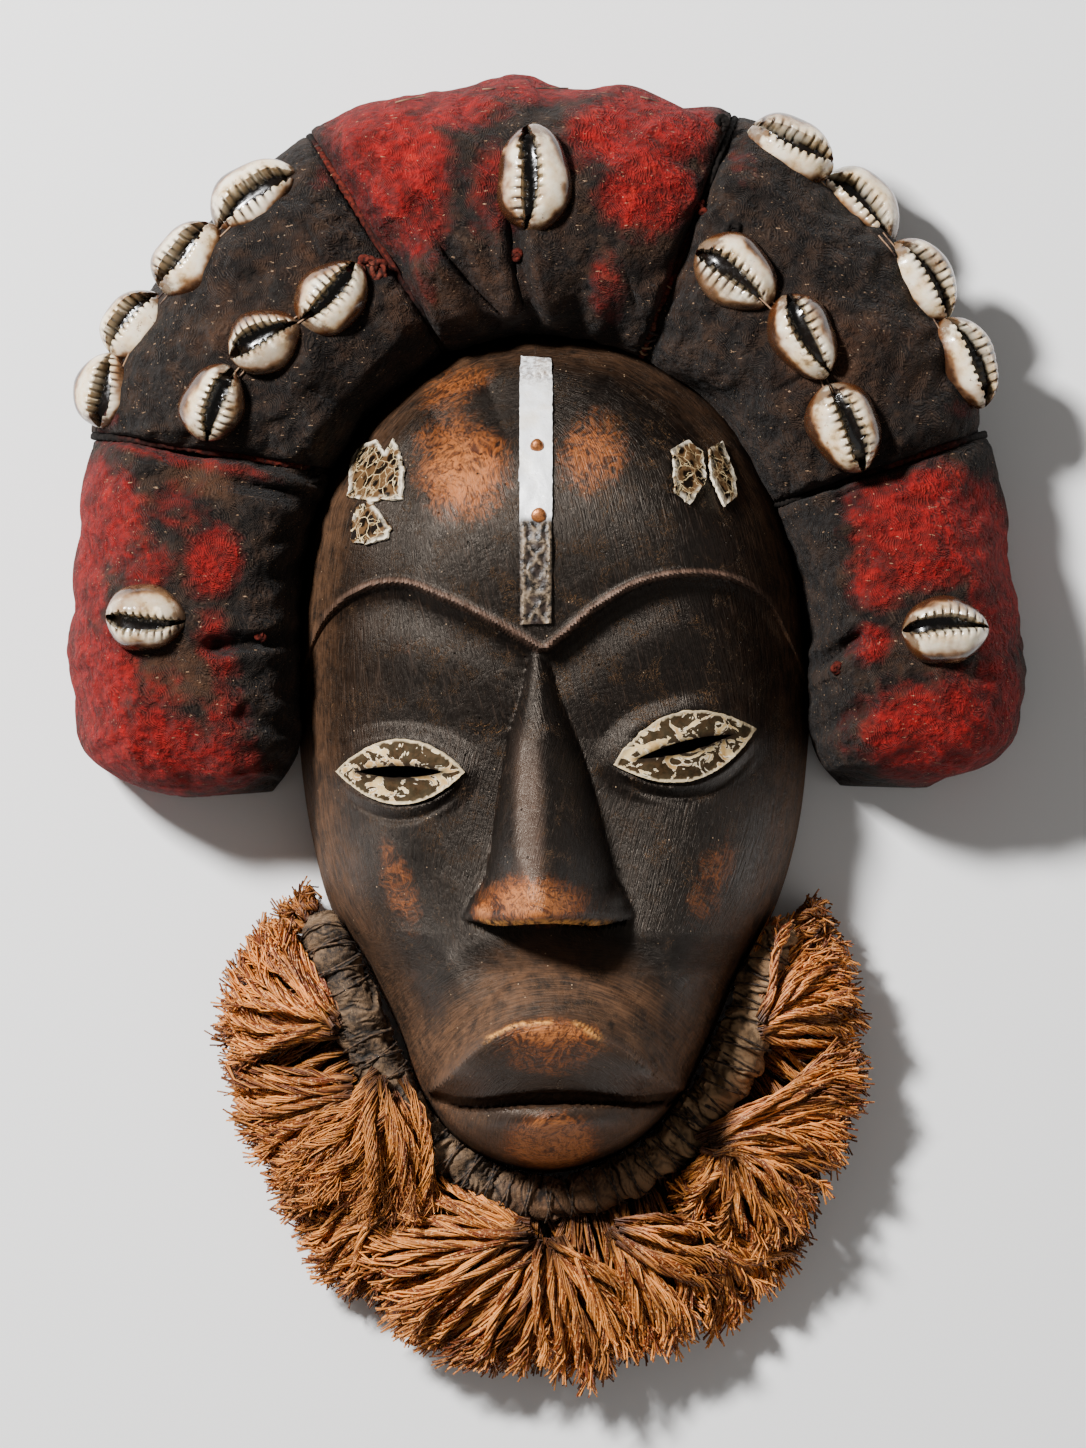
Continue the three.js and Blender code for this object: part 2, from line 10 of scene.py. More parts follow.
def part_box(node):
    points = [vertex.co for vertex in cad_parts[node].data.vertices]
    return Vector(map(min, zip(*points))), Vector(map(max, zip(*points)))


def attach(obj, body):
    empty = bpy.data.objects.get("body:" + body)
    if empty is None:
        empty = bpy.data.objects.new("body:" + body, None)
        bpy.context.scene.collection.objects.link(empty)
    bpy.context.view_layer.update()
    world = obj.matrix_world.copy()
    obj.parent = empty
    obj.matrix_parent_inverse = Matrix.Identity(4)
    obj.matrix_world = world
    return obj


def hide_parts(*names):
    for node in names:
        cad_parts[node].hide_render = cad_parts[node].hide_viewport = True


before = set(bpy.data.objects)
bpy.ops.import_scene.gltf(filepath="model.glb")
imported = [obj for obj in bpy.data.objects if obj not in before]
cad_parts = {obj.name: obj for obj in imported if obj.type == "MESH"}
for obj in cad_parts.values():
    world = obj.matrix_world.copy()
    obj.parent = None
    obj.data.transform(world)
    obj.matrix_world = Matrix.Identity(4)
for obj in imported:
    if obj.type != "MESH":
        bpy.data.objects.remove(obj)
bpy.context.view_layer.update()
mm = 0.001
print("frame loaded:", len(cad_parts), "nodes")


# shared helpers

def rgb(code):
    # "#A5602E" as a linear colour
    parts = [int(code[i:i + 2], 16) / 255 for i in (1, 3, 5)]
    return tuple(p / 12.92 if p <= 0.04045 else ((p + 0.055) / 1.055) ** 2.4 for p in parts) + (1.0,)


def softStep(value, low, high):
    t = np.clip((value - low) / (high - low), 0, 1)
    return t * t * (3 - 2 * t)


def hump(value, middle, width):
    return np.exp(-((value - middle) / width) ** 2)


def softMax(a, b, blend):
    h = np.clip(0.5 + 0.5 * (a - b) / blend, 0, 1)
    return b + (a - b) * h + blend * h * (1 - h)


def curveThrough(points, count, closed=False):
    # a smooth curve through every point, in equal steps of its own measure
    n = len(points)
    return curveAt(points, np.arange(count) / count * n if closed else np.linspace(0, n - 1, count), closed)


def curveAt(p, t, closed=False):
    p = np.array(p, float)
    n = len(p)
    k = np.clip(t.astype(int), 0, n - (1 if closed else 2))
    u = (t - k)[:, None]
    if closed:
        q = [p[(k + i) % n] for i in (-1, 0, 1, 2)]
    else:
        ends = np.vstack([2 * p[0] - p[1], p, 2 * p[-1] - p[-2]])
        q = [ends[k + i] for i in range(4)]
    d = [np.maximum(np.linalg.norm(b - a, axis=1, keepdims=True) ** 0.5, 1e-4) for a, b in zip(q, q[1:])]
    m1 = ((q[1] - q[0]) / d[0] - (q[2] - q[0]) / (d[0] + d[1]) + (q[2] - q[1]) / d[1]) * d[1]
    m2 = ((q[2] - q[1]) / d[1] - (q[3] - q[1]) / (d[1] + d[2]) + (q[3] - q[2]) / d[2]) * d[1]
    bend = 3 * (q[2] - q[1]) - 2 * m1 - m2
    return q[1] + m1 * u + bend * u ** 2 + (2 * (q[1] - q[2]) + m1 + m2) * u ** 3


def smoothAlong(rows, place, column=1):
    # the value at each place along rows of [place, value, ...]
    rows = np.array(rows, float)
    x, v = rows[:, 0], rows[:, column]
    slope = np.gradient(v, x)
    place = np.clip(place, x[0], x[-1])
    k = np.clip(np.searchsorted(x, place, side="right") - 1, 0, len(x) - 2)
    span = x[k + 1] - x[k]
    t = (place - x[k]) / span
    ease = t * t * (3 - 2 * t)
    return v[k] + (v[k + 1] - v[k]) * ease + span * t * (1 - t) * ((1 - t) * slope[k] - t * slope[k + 1])


def distanceToLine(x, y, line, closed=False):
    # distance in plan from each place to a line of points
    line = np.array(line, float)[:, :2]
    best = np.full(x.shape, 1e9)
    pairs = zip(line, np.roll(line, -1, axis=0)) if closed else zip(line[:-1], line[1:])
    for a, b in pairs:
        d = b - a
        t = np.clip(((x - a[0]) * d[0] + (y - a[1]) * d[1]) / max(d @ d, 1e-9), 0, 1)
        best = np.minimum(best, np.hypot(x - a[0] - t * d[0], y - a[1] - t * d[1]))
    return best


def insideOutline(x, y, line):
    # whether each place in plan lies inside an outline
    inside = np.zeros(x.shape, bool)
    line = np.array(line, float)[:, :2]
    for (ax, ay), (bx, by) in zip(line, np.roll(line, -1, axis=0)):
        if ay == by:
            continue
        crosses = (ay > y) != (by > y)
        inside ^= crosses & (x < (bx - ax) * (y - ay) / (by - ay) + ax)
    return inside


def depthInside(x, y, outline):
    # distance in from an outline, and less than zero outside it
    d = distanceToLine(x, y, outline, True)
    return np.where(insideOutline(x, y, outline), d, -d)


def reachOf(x, y, place):
    # distance from the middle of a leaning oval, as a share of its half sizes
    middleX, middleY, half, tall, lean = place
    c, s = math.cos(math.radians(lean)), math.sin(math.radians(lean))
    dx, dy = x - middleX, y - middleY
    return np.hypot((dx * c + dy * s) / half, (dy * c - dx * s) / tall)


def strongest(places, x, y, far, near):
    # the greatest strength of the ovals that each point lies in
    total = np.zeros(len(x))
    for *place, strength in places:
        total = np.maximum(total, strength * softStep(reachOf(x, y, place), far, near))
    return total


class Ripple:
    # smooth seeded unevenness over a plane: a sum of waves
    def __init__(self, seed, size, waves=24):
        r = np.random.default_rng(seed)
        turn = r.uniform(0, 2 * math.pi, waves)
        pace = 2 * math.pi / size * r.uniform(0.45, 1.6, waves)
        self.kx, self.ky = pace * np.cos(turn), pace * np.sin(turn)
        self.shift = r.uniform(0, 2 * math.pi, waves)
        self.scale = math.sqrt(2 / waves)

    def __call__(self, x, y):
        total = np.zeros(np.shape(x))
        for kx, ky, shift in zip(self.kx, self.ky, self.shift):
            total += np.cos(kx * x + ky * y + shift)
        return total * self.scale


def gridFaces(rows, columns, closed=False):
    # quads between rows of points, joined round where closed
    last = columns if closed else columns - 1
    i, j = np.meshgrid(np.arange(rows - 1), np.arange(last), indexing="ij")
    a = i * columns + j
    b = i * columns + (j + 1) % columns
    return np.stack([a, b, b + columns, a + columns], -1).reshape(-1, 4).tolist()


def tubeFaces(rows, columns):
    # a closed tube of points with a flat face at each end
    last = (rows - 1) * columns
    return gridFaces(rows, columns, True) + [list(range(columns))[::-1], list(range(last, last + columns))]


def linked(name, data, at=(0, 0, 0)):
    obj = bpy.data.objects.new(name, data)
    obj.location = at
    bpy.context.collection.objects.link(obj)
    return obj


def makeMesh(name, points, faces=(), edges=()):
    # points in millimetres
    mesh = bpy.data.meshes.new(name)
    mesh.from_pydata((np.asarray(points) * mm).tolist(), edges, [list(map(int, f)) for f in faces])
    mesh.update()
    return linked(name, mesh)


def guideMesh(name, lines):
    # lines of points as edges, for a tree to grow on
    starts = np.cumsum([0] + [len(line) for line in lines])
    edges = [(start + i, start + i + 1) for start, line in zip(starts, lines) for i in range(len(line) - 1)]
    return makeMesh(name, np.vstack(lines), edges=edges)


def pointsOf(obj):
    p = np.empty(len(obj.data.vertices) * 3)
    obj.data.vertices.foreach_get("co", p)
    return p.reshape(-1, 3) / mm


def setPoints(obj, points):
    obj.data.vertices.foreach_set("co", (np.asarray(points) * mm).astype(np.float32).ravel())
    obj.data.update()


def paint(obj, name, values):
    # a value for each point, for the material to read
    if name in obj.data.attributes:
        obj.data.attributes.remove(obj.data.attributes[name])
    layer = obj.data.attributes.new(name, "FLOAT", "POINT")
    layer.data.foreach_set("value", np.asarray(values, np.float32).ravel())


def faceOut(obj):
    # merges doubles and turns every face outwards
    bm = bmesh.new()
    bm.from_mesh(obj.data)
    bmesh.ops.remove_doubles(bm, verts=bm.verts, dist=1e-7)
    bmesh.ops.recalc_face_normals(bm, faces=bm.faces)
    bm.to_mesh(obj.data)
    bm.free()


def smoothBut(obj, degrees):
    # smooth shading, sharp where two faces meet at more than the angle
    bm = bmesh.new()
    bm.from_mesh(obj.data)
    limit = math.radians(degrees)
    for face in bm.faces:
        face.smooth = True
    for edge in bm.edges:
        edge.smooth = not (len(edge.link_faces) == 2 and edge.calc_face_angle(0) > limit)
    bm.to_mesh(obj.data)
    bm.free()


def applyModifiers(obj):
    graph = bpy.context.evaluated_depsgraph_get()
    mesh = bpy.data.meshes.new_from_object(obj.evaluated_get(graph))
    old = obj.data
    obj.modifiers.clear()
    obj.data = mesh
    bpy.data.meshes.remove(old)


def cutAway(obj, tool):
    cut = obj.modifiers.new("cut", "BOOLEAN")
    cut.operation = "DIFFERENCE"
    cut.solver = "MANIFOLD"
    cut.object = tool
    applyModifiers(obj)
    bpy.data.objects.remove(tool)


def dress(obj, material):
    obj.data.materials.clear()
    obj.data.materials.append(material)
    obj.data.polygons.foreach_set("material_index", np.zeros(len(obj.data.polygons), np.int32))


def finishPiece(obj, slot, *nodes):
    # every piece rides on the one body
    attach(obj, "root")
    if nodes:
        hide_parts(*nodes)
    return obj


def nodeName(prefix, name):
    # leftOuter1 as left_outer_1
    return prefix + "".join("_" + c.lower() if c.isupper() or c.isdigit() else c for c in name)


# nodes of materials and of geometry

class Value:
    # what a node puts out, to be added and multiplied like a number
    def __init__(self, graph, socket):
        self.graph, self.socket = graph, socket

    def __add__(self, other):
        return self.graph.math("ADD", self, other)

    def __radd__(self, other):
        return self.graph.math("ADD", other, self)

    def __sub__(self, other):
        return self.graph.math("SUBTRACT", self, other)

    def __rsub__(self, other):
        return self.graph.math("SUBTRACT", other, self)

    def __mul__(self, other):
        return self.graph.math("MULTIPLY", self, other)

    def __truediv__(self, other):
        return self.graph.math("DIVIDE", self, other)

    def __pow__(self, other):
        return self.graph.math("POWER", self, other)

    def __abs__(self):
        return self.graph.math("ABSOLUTE", self)

    def range(self, low, high, toLow=0.0, toHigh=1.0):
        # a smooth step from low to high
        return self.graph.out("ShaderNodeMapRange", {"interpolation_type": "SMOOTHSTEP"}, {
            "Value": self, "From Min": low, "From Max": high, "To Min": toLow, "To Max": toHigh})


class Graph:
    # nodes put in one after the other
    def __init__(self, tree):
        self.tree = tree

    def wire(self, value, socket):
        if isinstance(value, Value):
            self.tree.links.new(value.socket, socket)
        else:
            socket.default_value = value

    def node(self, kind, settings=None, sockets=None):
        n = self.tree.nodes.new(kind)
        for key, value in (settings or {}).items():
            setattr(n, key, value)
        for key, value in (sockets or {}).items():
            self.wire(value, n.inputs[key] if isinstance(key, int)
                      else next(s for s in n.inputs if s.name == key and s.enabled))
        return n

    def out(self, kind, settings=None, sockets=None, output=None):
        # one output by its name, or the first that is in use
        n = self.node(kind, settings, sockets)
        return Value(self, n.outputs[output] if output else next(o for o in n.outputs if o.enabled))

    def math(self, operation, *values):
        return self.out("ShaderNodeMath", {"operation": operation}, dict(enumerate(values)))

    def vector(self, operation, *values):
        return self.out("ShaderNodeVectorMath", {"operation": operation}, dict(enumerate(values)))


class Look(Graph):
    # the nodes of a material
    def __init__(self, name, sockets):
        self.material = bpy.data.materials.new(name)
        self.material.use_nodes = True
        super().__init__(self.material.node_tree)
        self.shader = self.tree.nodes["Principled BSDF"]
        self.shade(sockets)

    def shade(self, sockets):
        for name, value in sockets.items():
            self.wire(value, self.shader.inputs[name])

    def read(self, name):
        return self.out("ShaderNodeAttribute", {"attribute_name": name}, output="Fac")

    def place(self, scale=(1, 1, 1), turn=(0, 0, 0), warp=None, warpBy=0.0):
        # object coordinates in metres, scaled, turned, and pushed about by a colour
        at = self.out("ShaderNodeTexCoord", output="Object")
        if warp is not None:
            at = self.vector("MULTIPLY_ADD", warp, (warpBy,) * 3, at)
        return self.out("ShaderNodeMapping", None, {"Vector": at, "Rotation": turn, "Scale": scale})

    def noise(self, size, detail=4, rough=0.55, at=None, distortion=0.0, output="Fac"):
        # size is the width of one blotch in millimetres
        return self.out("ShaderNodeTexNoise", None, {
            "Vector": at or self.place(), "Scale": 1000 / size, "Detail": detail, "Roughness": rough,
            "Distortion": distortion}, output)

    def cells(self, size, feature="F1", at=None):
        return self.out("ShaderNodeTexVoronoi", {"feature": feature},
                        {"Vector": at or self.place(), "Scale": 1000 / size}, "Distance")

    def contours(self, name, across, along):
        # coordinates whose blotches run along the contours of a value painted in millimetres
        x, y, z = self.split(self.place((1000 / along,) * 3))
        return self.out("ShaderNodeCombineXYZ", None, {0: self.read(name) / across, 1: x + z, 2: y})

    def split(self, vector):
        parts = self.node("ShaderNodeSeparateXYZ", None, {0: vector})
        return [Value(self, socket) for socket in parts.outputs]

    def mix(self, amount, a, b):
        a, b = (rgb(c) if isinstance(c, str) else c for c in (a, b))
        return self.out("ShaderNodeMix", {"data_type": "RGBA"}, {0: amount, 6: a, 7: b})

    def finish(self, colour, relief=None, depth=0.0, strength=1.0, roughness=None):
        # depth of the relief in millimetres
        self.shade({"Base Color": colour})
        if relief:
            self.shade({"Normal": self.out("ShaderNodeBump", None, {
                "Height": relief, "Distance": depth * mm, "Strength": strength})})
        if roughness:
            self.shade({"Roughness": roughness})
        return self.material


class Tree(Graph):
    # geometry nodes, run once into a plain mesh
    def __init__(self, name, inputs):
        super().__init__(bpy.data.node_groups.new(name, "GeometryNodeTree"))
        self.sockets = {}
        face = self.tree.interface
        face.new_socket("Geometry", in_out="INPUT", socket_type="NodeSocketGeometry")
        for label, value in inputs.items():
            kind = "NodeSocketInt" if isinstance(value, int) else "NodeSocketFloat"
            socket = face.new_socket(label, in_out="INPUT", socket_type=kind)
            socket.default_value = value
            self.sockets[label] = socket.identifier
        face.new_socket("Geometry", in_out="OUTPUT", socket_type="NodeSocketGeometry")
        self.start = self.tree.nodes.new("NodeGroupInput")
        self.end = self.tree.nodes.new("NodeGroupOutput")

    def given(self, label):
        return Value(self, self.start.outputs[label])

    def scaled(self, vector, amount):
        return self.out("ShaderNodeVectorMath", {"operation": "SCALE"}, {0: vector, "Scale": amount})

    def random(self, low, high, number, seed):
        return self.out("FunctionNodeRandomValue", {"data_type": "FLOAT"},
                        {"Min": low, "Max": high, "ID": number, "Seed": seed})

    def read(self, name):
        return self.out("GeometryNodeInputNamedAttribute", {"data_type": "FLOAT"}, {"Name": name})

    def keep(self, geometry, name, value):
        return self.out("GeometryNodeStoreNamedAttribute", {"data_type": "FLOAT", "domain": "POINT"},
                        {"Geometry": geometry, "Name": name, "Value": value})

    def curves(self):
        return self.out("GeometryNodeMeshToCurve", None, {"Mesh": self.given("Geometry")})

    def ring(self, sides, radius):
        return self.out("GeometryNodeCurvePrimitiveCircle", {"mode": "RADIUS"},
                        {"Resolution": sides, "Radius": radius})

    def tube(self, curve, profile):
        return self.out("GeometryNodeCurveToMesh", None,
                        {"Curve": curve, "Profile Curve": profile, "Fill Caps": True})

    def run(self, obj, geometry, material, values):
        # ends the tree in one smooth real mesh, and grows it on an object
        smooth = self.out("GeometryNodeSetShadeSmooth", None, {"Geometry": geometry})
        named = self.out("GeometryNodeSetMaterial", None, {"Geometry": smooth, "Material": material})
        real = self.out("GeometryNodeRealizeInstances", None, {"Geometry": named})
        self.wire(real, self.end.inputs[0])
        grown = obj.modifiers.new(self.tree.name, "NODES")
        grown.node_group = self.tree
        for label, value in values.items():
            grown[self.sockets[label]] = value
        applyModifiers(obj)


# camera, floor and light

studio = {
    "cameraAt": (-1.1, 3.8), "cameraHeight": 2600, "focus": 45, "frameHeight": 405.4, "sensor": 36,
    # lamps: place in metres, watts, width in metres
    "key": ((-0.78, 0.7, 1.25), 68, 0.22), "fill": ((1.1, -0.5, 1.3), 2.6, 1.4),
    "sky": (1, 0.98, 0.95, 1), "skyStrength": 0.16, "floor": "#F7F6F5", "floorHalf": 2500,
}


def buildStudio():
    data = bpy.data.cameras.new("camera")
    data.sensor_fit = "VERTICAL"
    data.sensor_height = studio["sensor"]
    data.lens = studio["sensor"] * (studio["cameraHeight"] - studio["focus"]) / studio["frameHeight"]
    data.clip_end = 20
    at = [value * mm for value in (*studio["cameraAt"], studio["cameraHeight"])]
    bpy.context.scene.camera = linked("camera", data, at)
    for name in ("key", "fill"):
        at, power, size = studio[name]
        light = bpy.data.lights.new(name, "AREA")
        light.energy, light.size = power, size
        linked(name, light, at).rotation_euler = (-Vector(at)).to_track_quat("-Z", "Y").to_euler()
    world = bpy.data.worlds.new("studio")
    bpy.context.scene.world = world
    world.use_nodes = True
    sky = world.node_tree.nodes["Background"]
    sky.inputs["Color"].default_value = studio["sky"]
    sky.inputs["Strength"].default_value = studio["skyStrength"]
    half = studio["floorHalf"]
    floor = makeMesh("floor", [[-half, -half, 0], [half, -half, 0], [half, half, 0], [-half, half, 0]],
                     [[0, 1, 2, 3]])
    plain = Look("pale floor", {"Base Color": rgb(studio["floor"]), "Roughness": 0.9})
    floor.data.materials.append(plain.material)


buildStudio()
print("studio ready")


# the carved wooden face

carving = {
    "centre": (2, 5), "wall": 8.5, "roundness": 3, "chinRoundness": 6.5, "columns": 262, "rows": 356,
    "rim": [
        (-0.5, 116), (-21.5, 112.5), (-41, 101.5), (-55, 86), (-65, 66.5), (-69.5, 44), (-71, 16),
        (-70, -6.5), (-67, -27.5), (-61, -49.5), (-50.5, -66.5), (-41.5, -84.5), (-35.5, -101.5), (-23, -117),
        (-2, -124), (20.5, -118.5), (36, -105.5), (44.5, -90.5), (53, -70.5), (64.5, -49.5), (71, -28.5),
        (74, -6.5), (75, 16), (72.5, 44), (66.5, 66.5), (55.5, 86), (41.5, 100.5), (22, 112.5)],
    "heights": [(-124, 64), (-105, 74), (-80, 74), (-50, 66), (0, 66), (27, 71), (60, 78), (116, 80)],
    "browLine": [
        (-73.5, 10.5), (-68.5, 20.5), (-62, 33), (-52.5, 40.5), (-41, 42.5), (-27, 37.5), (-13, 30.5),
        (-5, 26), (-1, 24), (3.5, 27), (15, 36.5), (27.5, 43), (40, 45), (52.5, 43.5), (62, 37.5), (68, 27.5),
        (74, 13.5)],
    "browRise": 3.5, "crestRise": 1.3, "crestWidth": 1.7, "socketDepth": 2.4,
    "ridgeX": -3, "noseEnd": -51.6,
    "nose": [
        (25, 70, 1.5, 2.5), (14, 74, 3.6, 6), (0, 79, 7.5, 11.5), (-16, 86, 10, 16), (-32, 93.5, 12, 19.5),
        (-41, 97.3, 14.5, 22), (-46, 98.2, 18, 25), (-50, 96.5, 19.8, 26.5), (-51.5, 92, 19, 26)],
    "wings": [(17.5, -45.5, 4.6, 5.4, 71), (-16.8, -47.4, 4.2, 3.8, 74)],
    "muzzle": [(-36.5, -101), (-27.5, -87.5), (-19.5, -75.5), (-11, -66.5), (-2, -62.5), (9, -63.5),
               (21, -69), (31, -80.5), (42.5, -100.5)],
    "upperLip": [(-31, -97.6), (-24.5, -90.5), (-16, -83), (-9, -79.5), (-2, -78.5), (6.5, -78.5),
                 (13.5, -82), (22, -87), (29, -92.5), (36, -98.2)],
    "lipFoot": [(36, -99.2), (24, -99.8), (13, -98.6), (2, -98), (-9, -98.8), (-20, -100.4), (-31, -98.8)],
    "lowerLipTop": [(-29, -103.2), (-20, -103.6), (-7.5, -102.4), (4, -102), (15, -102), (25, -102.8),
                    (37, -103.4)],
    "muzzleRise": 9.6, "lipRise": 13, "lipDrop": 9.5, "lowerLipRise": 11, "mouthDepth": 4,
}
eyes = {
    "left": {"centre": (-41, -9.5), "length": 37, "height": 18.5, "tilt": 0, "slit": 25},
    "right": {"centre": (38.5, -2.5), "length": 42, "height": 19.5, "tilt": 14, "slit": 28},
    "slitHeight": 3.4, "lidRise": 2.2,
}

rimLine = curveThrough(carving["rim"], 840, True) - carving["centre"]
rimTurn = np.arctan2(rimLine[:, 1], rimLine[:, 0])
rimOrder = np.argsort(rimTurn)
browCurve = curveThrough(carving["browLine"], 120)
lipFootCurve = curveThrough(carving["lipFoot"], 60)
lowerLipCurve = curveThrough(carving["lowerLipTop"], 60)
upperLipCurve = curveThrough(carving["upperLip"], 80)
upperLipShape = np.vstack([upperLipCurve, lipFootCurve])
muzzleShape = curveThrough(carving["muzzle"], 90)


def rimRadius(turn):
    reach = np.hypot(rimLine[:, 0], rimLine[:, 1])
    return np.interp(turn, rimTurn[rimOrder], reach[rimOrder], period=2 * math.pi)


def roundness(turn):
    # the dome is fuller towards the chin
    down = np.maximum(0, -np.sin(turn))
    return carving["roundness"] + (carving["chinRoundness"] - carving["roundness"]) * down ** 2


def domeHeight(x, y):
    dx, dy = x - carving["centre"][0], y - carving["centre"][1]
    turn = np.arctan2(dy, dx)
    reach = np.minimum(1, np.hypot(dx, dy) / rimRadius(turn))
    full = np.sqrt(np.maximum(0, 1 - reach ** roundness(turn)))
    return smoothAlong(carving["heights"], y) * full, reach


def alongLine(x, line):
    # height in plan of a line that runs from side to side
    line = line[np.argsort(line[:, 0])]
    return np.interp(x, line[:, 0], line[:, 1])


def browAbove(x, y):
    # distance above the brow line, and less than zero below it
    d = distanceToLine(x, y, browCurve)
    return np.where(y > alongLine(x, browCurve), d, -d)


def eyeFrame(eye, x, y):
    # places across and along an eye, as a share of its half size
    turn = math.radians(eye["tilt"])
    dx, dy = x - eye["centre"][0], y - eye["centre"][1]
    along = (dx * math.cos(turn) + dy * math.sin(turn)) / (eye["length"] / 2)
    across = (dy * math.cos(turn) - dx * math.sin(turn)) / (eye["height"] / 2)
    return along, across


def noseFoot(x):
    return carving["noseEnd"] + 0.5 * np.cos(x / 5.5) + 1.4 * softStep(np.abs(x), 12, 24)


def noseHeight(x, y, dome):
    rows = carving["nose"]
    top = smoothAlong([r[:2] for r in rows][::-1], y)
    left = smoothAlong([(r[0], r[2]) for r in rows][::-1], y)
    right = smoothAlong([(r[0], r[3]) for r in rows][::-1], y)
    t = np.where(x < carving["ridgeX"], (carving["ridgeX"] - x) / left, (x - carving["ridgeX"]) / right)
    side = dome - 4
    # a tilted plane left of the ridge, then a steep side; towards the foot it spreads like a skirt
    bent = np.maximum(0, np.sqrt(np.minimum(np.abs(t), 1.4) ** 2 + 0.012) - 0.11)
    fall = np.where(x < carving["ridgeX"], 0.1 * bent + 0.9 * bent ** 3.6, 0.2 * bent + 0.8 * bent ** 2.2)
    skirt = softStep(y, -30, -47)
    body = side + (top - side) * (1 - fall * (1 - skirt) - bent ** 1.3 * skirt)
    for wx, wy, across, up, height in carving["wings"]:
        reach = np.hypot((x - wx) / across, (y - wy) / up)
        wing = height - 9 * (reach ** 2.0 - 0.3)
        body = np.where(reach < 1.6, softMax(body, wing, 2.6), body)
    return np.where((y > noseFoot(x)) & (y < 27), body, -50)


def faceHeight(x, y):
    dome, reach = domeHeight(x, y)
    edge = softStep(reach, 1.0, 0.985)
    above = browAbove(x, y)
    sides = softStep(np.abs(x), 72, 50)
    rise = carving["browRise"] * softStep(above, -0.7, 0.5)
    wide = carving["crestWidth"]
    crest = softStep(above, -0.5, 0.5) * softStep(above, wide + 0.5, wide - 0.6) * sides
    rise += carving["crestRise"] * crest
    below = np.maximum(0, -above)
    rise -= carving["socketDepth"] * hump(below, 5, 7.5) * softStep(above, 0, -4) * softStep(y, -12, 4)
    # hollow of the cheeks beside the muzzle
    rise -= 1.3 * (hump(np.abs(x - 2), 38, 13) * hump(y, -66, 20))
    for side in ("left", "right"):
        along, across = eyeFrame(eyes[side], x, y)
        reachEye = np.sqrt(np.abs(along) ** 2.6 + (np.abs(across) * 0.9 + 0.12 * along ** 2) ** 2)
        rise += eyes["lidRise"] * softStep(reachEye, 1.42, 0.85)
        # the lower lid's edge and the crease under it
        lid = (1 - along ** 2) + across
        rise += 0.8 * hump(lid, -0.14, 0.07) * softStep(np.abs(along), 1.05, 0.8)
        rise -= 1.2 * hump(lid, -0.42, 0.12) * softStep(np.abs(along), 1.05, 0.6)
    height = softMax(dome + rise * edge, noseHeight(x, y, dome), 1.5)

    # the muzzle rises from its crease to the edge of the upper lip
    mouthLow = alongLine(x, lowerLipCurve)
    muzzleIn = np.where(insideOutline(x, y, np.vstack([muzzleShape, [(44, -112), (-38, -112)]])),
                        distanceToLine(x, y, muzzleShape), 0)
    toLip = distanceToLine(x, y, upperLipCurve)
    share = muzzleIn / (muzzleIn + toLip + 0.01)
    starts = softStep(muzzleIn, 0, 3)
    swell = carving["muzzleRise"] * (0.3 * softStep(muzzleIn, 0, 2.5) + 0.7 * share ** 1.35) * starts
    bead = (carving["lipRise"] - carving["muzzleRise"]) * softStep(toLip, 1.7, 0.1)
    upper = dome + (swell + bead * starts) * edge
    toFoot = distanceToLine(x, y, lipFootCurve)
    fall = softStep(toLip / (toLip + toFoot + 0.01), 0, 1)
    lip = dome + carving["lipRise"] - carving["lipDrop"] * fall ** 1.2
    height = np.where((muzzleIn > 0) & (y > -100), np.maximum(height, upper), height)
    height = np.where(insideOutline(x, y, upperLipShape), lip, height)

    # the gap between the lips, and the lower lip down to the chin
    footY = alongLine(x, lipFootCurve)
    between = softStep(y, footY + 0.3, footY - 0.5) * softStep(y, mouthLow - 0.4, mouthLow + 0.3)
    between *= softStep(x, -33.5, -30) * softStep(x, 39.5, 35)
    under = np.maximum(0, mouthLow - y)
    across = softStep(np.abs(x - 3) - 0.35 * under, 37, 26)
    bulge = carving["lowerLipRise"] * np.sqrt(softStep(under, -2.5, 6.5)) * (0.35 + 0.65 * across)
    bulge -= 0.018 * np.maximum(0, under - 7) ** 2
    lower = dome + bulge * softStep(reach, 1.0, 0.95)
    height = np.where(y <= mouthLow, softMax(height, lower, 0.6), height)
    return np.where(between > 0, height * (1 - between) + between * (dome - carving["mouthDepth"]), height)


def discGrid(across, up):
    # an even grid over a disc, drawn closer towards its edge: direction and reach of each point
    u, v = np.meshgrid(np.linspace(-1, 1, across), np.linspace(-1, 1, up))
    x, y = u * np.sqrt(1 - v ** 2 / 2), v * np.sqrt(1 - u ** 2 / 2)
    reach = np.hypot(x, y)
    return np.arctan2(y, x), 1.16 * reach - 0.16 * reach ** 7


def lensLine(eye, length, height, count):
    turn = math.radians(eye["tilt"])
    t = np.concatenate([np.linspace(-1, 1, count), np.linspace(1, -1, count)[1:-1]])
    side = np.concatenate([np.ones(count), -np.ones(count - 2)])
    dx, dy = t * length / 2, side * height / 2 * (1 - t ** 2)
    x = eye["centre"][0] + dx * math.cos(turn) - dy * math.sin(turn)
    return np.stack([x, eye["centre"][1] + dx * math.sin(turn) + dy * math.cos(turn)], 1)


def block(name, outline, low, high):
    # straight walls over an outline in plan
    n = len(outline)
    points = [(x, y, z) for z in (low, high) for x, y in outline]
    faces = [(i, (i + 1) % n, (i + 1) % n + n, i + n) for i in range(n)]
    obj = makeMesh(name, points, faces + [tuple(range(n))[::-1], tuple(range(n, 2 * n))])
    faceOut(obj)
    return obj


